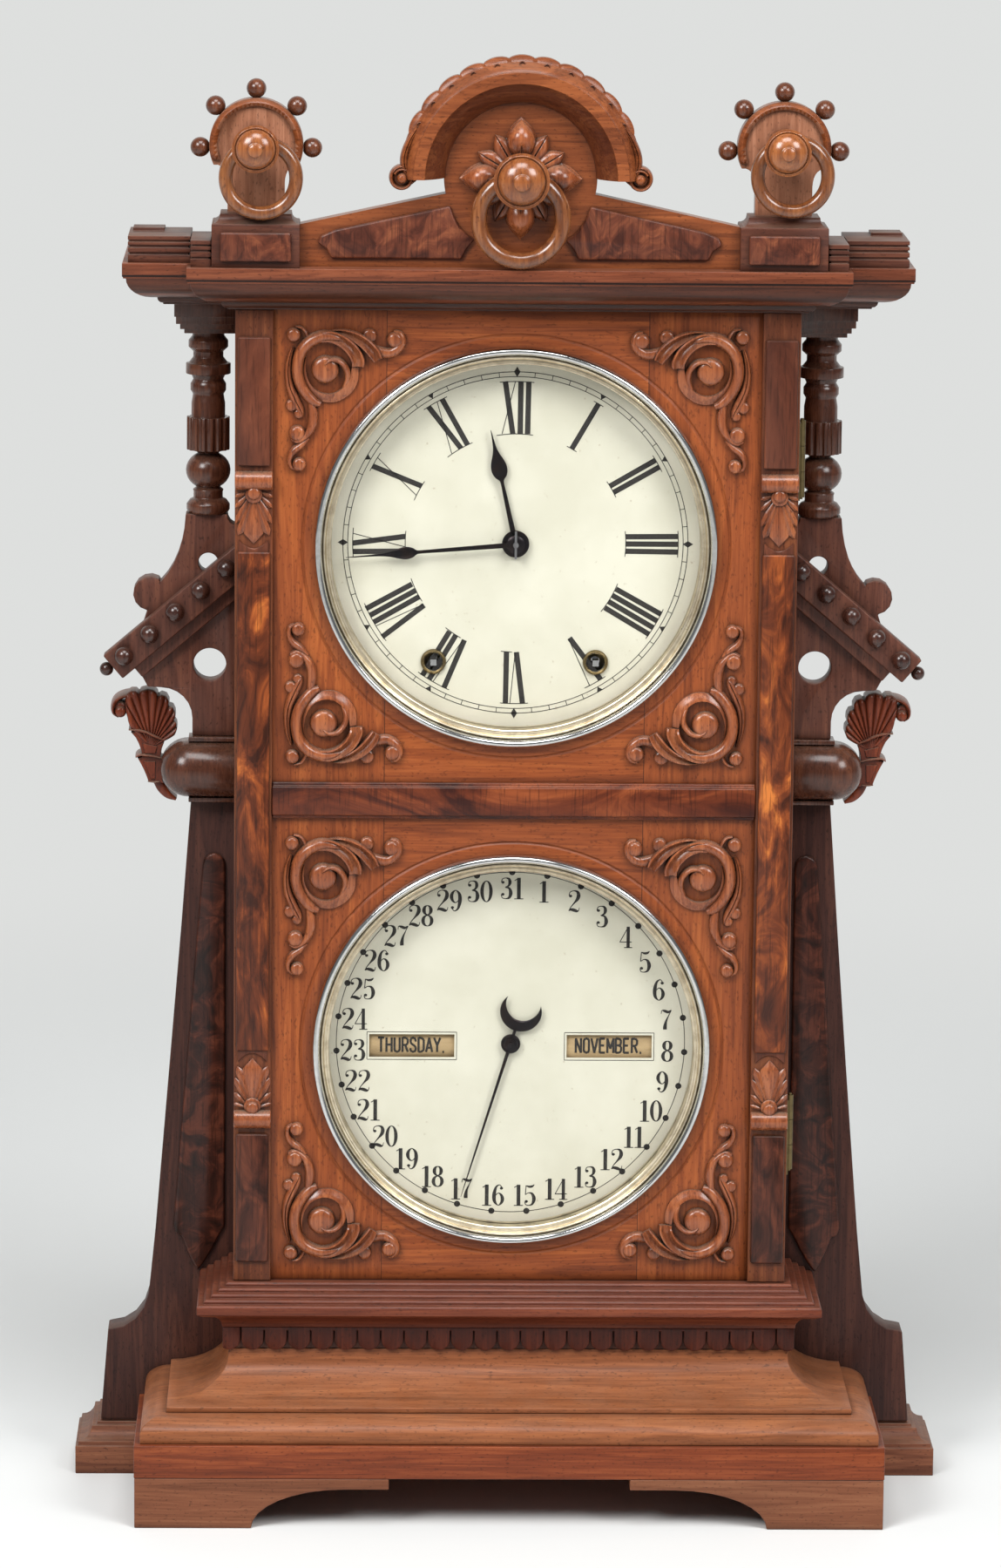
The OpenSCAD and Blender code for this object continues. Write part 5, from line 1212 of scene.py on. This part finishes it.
washer = [(1.55, 47.8), (5.0, 47.8), (5.0, 48.0), (3.6, 48.8), (1.55, 48.8)]
build("blued_hour_hand", hand_shells(HOUR, HOUR_TURN, Z_TIME, 44.4, 1.0, 7.4, 3.62), blued,
      body_of["hour_hand"], ["hour_hand"])
shells = hand_shells(MINUTE, MINUTE_TURN, Z_TIME, 47.0, 0.8, 4.6, 1.55) + [closed_ring(washer, 0, Z_TIME, 60)]
build("blued_minute_hand", shells, blued, body_of["minute_hand"], ["minute_hand"])


HORN_OUT, HORN_IN, HORN_AT, HORN_APART = 11.2, 9.6, -19, 4.5


def crescent(degrees, z):
    """Between an outer circle and an inner one 4.5 lower; its width falls to nothing where they meet."""
    meet = (HORN_OUT**2 - HORN_IN**2 + HORN_APART**2) / (2 * HORN_APART)
    reach = math.sqrt(HORN_OUT**2 - meet**2)
    a0 = math.atan2(-meet, reach)
    a = np.linspace(a0, np.pi - a0, 34)
    outer = np.column_stack([HORN_OUT * np.cos(a), HORN_AT + HORN_OUT * np.sin(a)])
    b0 = math.atan2(-meet + HORN_APART, reach)
    b = np.linspace(b0, np.pi - b0, 34)
    inner = np.column_stack([HORN_IN * np.cos(b), HORN_AT - HORN_APART + HORN_IN * np.sin(b)])
    middle, half = (outer + inner) / 2, np.linalg.norm(outer - inner, axis=1) / 2
    rows = np.column_stack([middle, np.maximum(half, 0.05), np.ones(34)])
    rows[:, :2] = turned_to(rows[:, :2], -math.radians(degrees)) + (0, z)
    return stroke(rows, THIN_PLATE, DATE_BASE, spot, 1, sunk=0.0)


tail = [(-9.5, 0.8), (-4.5, 0.9)]
shells = [hand(DATE, DATE_TURN, Z_CAL, DATE_BASE, 1.0), crescent(DATE_TURN, Z_CAL),
          hand(tail, DATE_TURN, Z_CAL, DATE_BASE, 1.0)]
shells += [lathe([(0, 0), (5.3, 0), (5.3, 0.7), (5.0, 1.0), (3.7, 1.0), (3.6, 1.3), (3.5, 2.2), (3.1, 2.4),
                  (1.6, 2.4), (1.5, 3.2), (1.2, 3.4), (0, 3.4)],
                 0, Z_CAL, DATE_BASE, 48)]
ROOT_R, TIP_R, DAYS_ROUND = 20.1, 21.9, 31
teeth = np.radians(360.0 * np.arange(4 * DAYS_ROUND) / (4 * DAYS_ROUND))
reach = np.tile([ROOT_R, TIP_R, TIP_R, ROOT_R], DAYS_ROUND)
shells.append(fan_plate(np.column_stack([reach * np.cos(teeth), reach * np.sin(teeth) + Z_CAL]), (0, Z_CAL),
                        20, 21.6, spot))
shells.append(lathe([(0, -19), (1.5, -19), (1.5, 46), (0, 46)], 0, Z_CAL, 0, 24))
build("blued_date_hand", shells, blued, body_of["date_hand"], ["date_hand"])
print("hands done")

# %% [markdown]
# ## Turned knobs and rings
# The three knobs are one shape at three sizes: a fluted neck, a rim, a dished step, a dome and a flat
# button. They keep their solids, but each dome is drawn in a little and gets a bead and a button. The
# rings hang from a hole through the neck. The dial sheet gets two brass grommets.

# %% Knobs, rings and grommets
# x, height over the crown, seat, head radius, ring tube radius, neck
KNOBS = [(0, 48.3, 77, 14.9, 4.4, 8.7), (-FINIAL_X, FINIAL_UP, 66, 12.5, 3.7, 17),
         (FINIAL_X, FINIAL_UP, 66, 12.5, 3.7, 17)]
DRAWN_IN = 0.91
knobs = eased("ring_knobs", wood["turned"], 0.0)
mesh = knobs.data
flat = np.empty(len(mesh.vertices) * 3)
mesh.vertices.foreach_get("co", flat)
co = flat.reshape(-1, 3)
beads = []
for x, zc, seat, r, tube, neck in KNOBS:
    zc += Z_CROWN
    d = co[:, [0, 2]] / MM - (x, zc)
    rad = np.linalg.norm(d, axis=1)
    front = seat + neck + tube + 4.3
    dome_part = (WALL - co[:, 1] / MM > front + 3.0) & (rad < 0.955 * r)
    co[dome_part] = np.column_stack([(x + d[dome_part, 0] * DRAWN_IN) * MM, co[dome_part, 1],
                                     (zc + d[dome_part, 1] * DRAWN_IN) * MM])
    beads.append(lathe([(0, 3.4), (0.3 * r, 3.4), (0.3 * r, 5.2), (0.26 * r, 5.7), (0, 5.8)], x, zc,
                       front + 0.5 * r, 48))
    beads.append(closed_ring(np.array(arc(0.895 * r, front + 3.2, 0.035 * r, 0.045 * r, 0, 330, 11)), x, zc,
                             72))
mesh.vertices.foreach_set("co", co.ravel())
mesh.update()
build("knob_beads", beads, wood["turned"], body_of["ring_knobs"], slot=slot_of["ring_knobs"], sharp=60)
for node in ("centre_ring", "left_ring", "right_ring"):
    eased(node, wood["ring"], 0.0, 50)
grommet = [(5.05, 42.75), (6.9, 42.75), (6.9, 43.1), (6.5, 43.8), (5.7, 44.1), (5.05, 43.7)]
build("grommets", [closed_ring(grommet, s * 44, Z_TIME - 65, 40) for s in (-1, 1)], old_brass,
      body_of["time_dial"], slot="brass")
print("knobs and grommets done")

# %% [markdown]
# ## Camera, floor and light
# The photograph was taken from about three and a half metres away with a long lens, a little above
# the clock and to its left. The camera's place and turn come from matching the clock's known corners.

# %% Camera
CAMERA_AT = (-90.93, -3535.94, 1077.66)
FOCAL_PX, LONG_SIDE_PX, SENSOR = 7570.68, 1800.0, 36.0


def turn(axis, degrees):
    return Matrix.Rotation(math.radians(degrees), 3, axis)


camera_data = bpy.data.cameras.new("viewpoint")
camera_data.sensor_width = SENSOR
camera_data.lens = SENSOR * FOCAL_PX / LONG_SIDE_PX
camera_data.clip_start, camera_data.clip_end = 0.05, 50.0
camera = show(bpy.data.objects.new("viewpoint", camera_data))


def world_to_view(pitch, yaw, roll):
    """Rows are the view's right, down and forward: roll times pitch times yaw times the level view."""
    p, y, r = (math.radians(v) for v in (pitch, yaw, roll))
    level = np.array([[1, 0, 0], [0, 0, -1], [0, 1, 0]], float)
    rp = np.array([[1, 0, 0], [0, math.cos(p), -math.sin(p)], [0, math.sin(p), math.cos(p)]])
    ry = np.array([[math.cos(y), 0, math.sin(y)], [0, 1, 0], [-math.sin(y), 0, math.cos(y)]])
    rr = np.array([[math.cos(r), -math.sin(r), 0], [math.sin(r), math.cos(r), 0], [0, 0, 1]])
    return rr @ rp @ ry @ level


view_rows = world_to_view(10.868, -1.365, 0.555)
facing = Matrix([view_rows[0], -view_rows[1], -view_rows[2]]).transposed().to_4x4()
camera.matrix_world = Matrix.Translation(Vector(CAMERA_AT) * MM) @ facing
bpy.context.scene.camera = camera
print("lens", round(camera_data.lens, 2), "mm")


# %% [markdown]
# A pale sweep of floor carries the clock's shadow. Beyond a metre it is seen at one level, and from
# behind it isn't seen at all, so the clock's back can be looked at too. Three soft lamps light it.

# %% Floor, backdrop and lamps
PALE, NEAR, FAR = (0.73, 0.74, 0.73), 0.75, 1.7


def seen(f):
    """1 for rays that come from the camera, a mirror or glass, 0 for rays that only carry light."""
    path = f.add("LightPath").outputs
    total = f.math("ADD", path["Is Camera Ray"], path["Is Glossy Ray"])
    return f.math("ADD", total, path["Is Transmission Ray"], clamp=True)


def pale_stage():
    """Plain paint near the clock; beyond a metre it is seen at one level, and from behind it isn't seen."""
    f = Finish("pale_floor", Roughness=0.75, Base_Color=(0.74, 0.75, 0.74))
    away = f.add("VectorMath", {0: f.along((1, 1, 0))}, operation="LENGTH").outputs["Value"]
    far = f.add("MapRange", {0: away, 1: NEAR, 2: FAR}, interpolation_type="SMOOTHSTEP").outputs[0]
    level = f.add("Emission", {0: (*PALE, 1.0), 1: 1.0}).outputs[0]
    shown = f.add("MixShader", {0: f.math("MULTIPLY", far, seen(f)), 1: f.surface.outputs[0],
                                2: level}).outputs[0]
    behind = f.add("NewGeometry").outputs["Backfacing"]
    shown = f.add("MixShader", {0: behind, 1: shown, 2: f.add("BsdfTransparent").outputs[0]}).outputs[0]
    f.tree.links.new(shown, next(n for n in f.tree.nodes if n.type == "OUTPUT_MATERIAL").inputs[0])
    return f.material


def sweep_floor():
    """A floor that rises behind the clock: a level line, a quarter circle and an upright line."""
    line = np.vstack([[[-6.0, 0.0]], arc(1.6, 0.8, 0.8, 0.8, 270, 360, 16), [[2.4, 5.0]]])
    x = np.array([-6.0, 6.0])
    points = np.stack([np.repeat(x[:, None], len(line), 1), np.tile(line[:, 0], (2, 1)),
                       np.tile(line[:, 1], (2, 1))], -1)
    mesh = bpy.data.meshes.new("studio_floor")
    mesh.from_pydata(points.reshape(-1, 3).tolist(), [], quads(2, len(line)).tolist())
    if mesh.polygons[0].normal.z < 0:
        mesh.flip_normals()
    mesh.shade_smooth()
    mesh.materials.append(pale_stage())
    floor = show(bpy.data.objects.new("studio_floor", mesh))


sweep_floor()


def lamp(name, at, size, power):
    light = bpy.data.lights.new(name, "AREA")
    light.shape = "RECTANGLE"
    light.size, light.size_y = size
    light.energy = power
    obj = show(bpy.data.objects.new(name, light))
    obj.location = at
    obj.rotation_euler = (Vector((0, 0, 0.4)) - Vector(at)).to_track_quat("-Z", "Y").to_euler()


lamp("left_softbox", (-1.5, -1.9, 2.2), (1.1, 1.1), 66.0)
lamp("right_softbox", (1.6, -1.8, 2.1), (1.1, 1.1), 48.0)
lamp("top_softbox", (0.0, -1.1, 2.6), (1.2, 1.0), 36.0)
world = bpy.data.worlds.new("studio_air")
bpy.context.scene.world = world
world.use_nodes = True
air = world.node_tree
air.nodes["Background"].inputs[0].default_value = (0.92, 0.95, 1.0, 1.0)
air.nodes["Background"].inputs[1].default_value = 0.2
plain_air = air.nodes.new("ShaderNodeBackground")
plain_air.inputs[0].default_value = (*PALE, 1.0)
either = air.nodes.new("ShaderNodeMixShader")
air.links.new(air.nodes.new("ShaderNodeLightPath").outputs["Is Camera Ray"], either.inputs[0])
air.links.new(air.nodes["Background"].outputs[0], either.inputs[1])
air.links.new(plain_air.outputs[0], either.inputs[2])
air.links.new(either.outputs[0], air.nodes["World Output"].inputs[0])
bpy.context.scene.view_settings.view_transform = "Standard"
print("lamps:", len(bpy.data.lights))
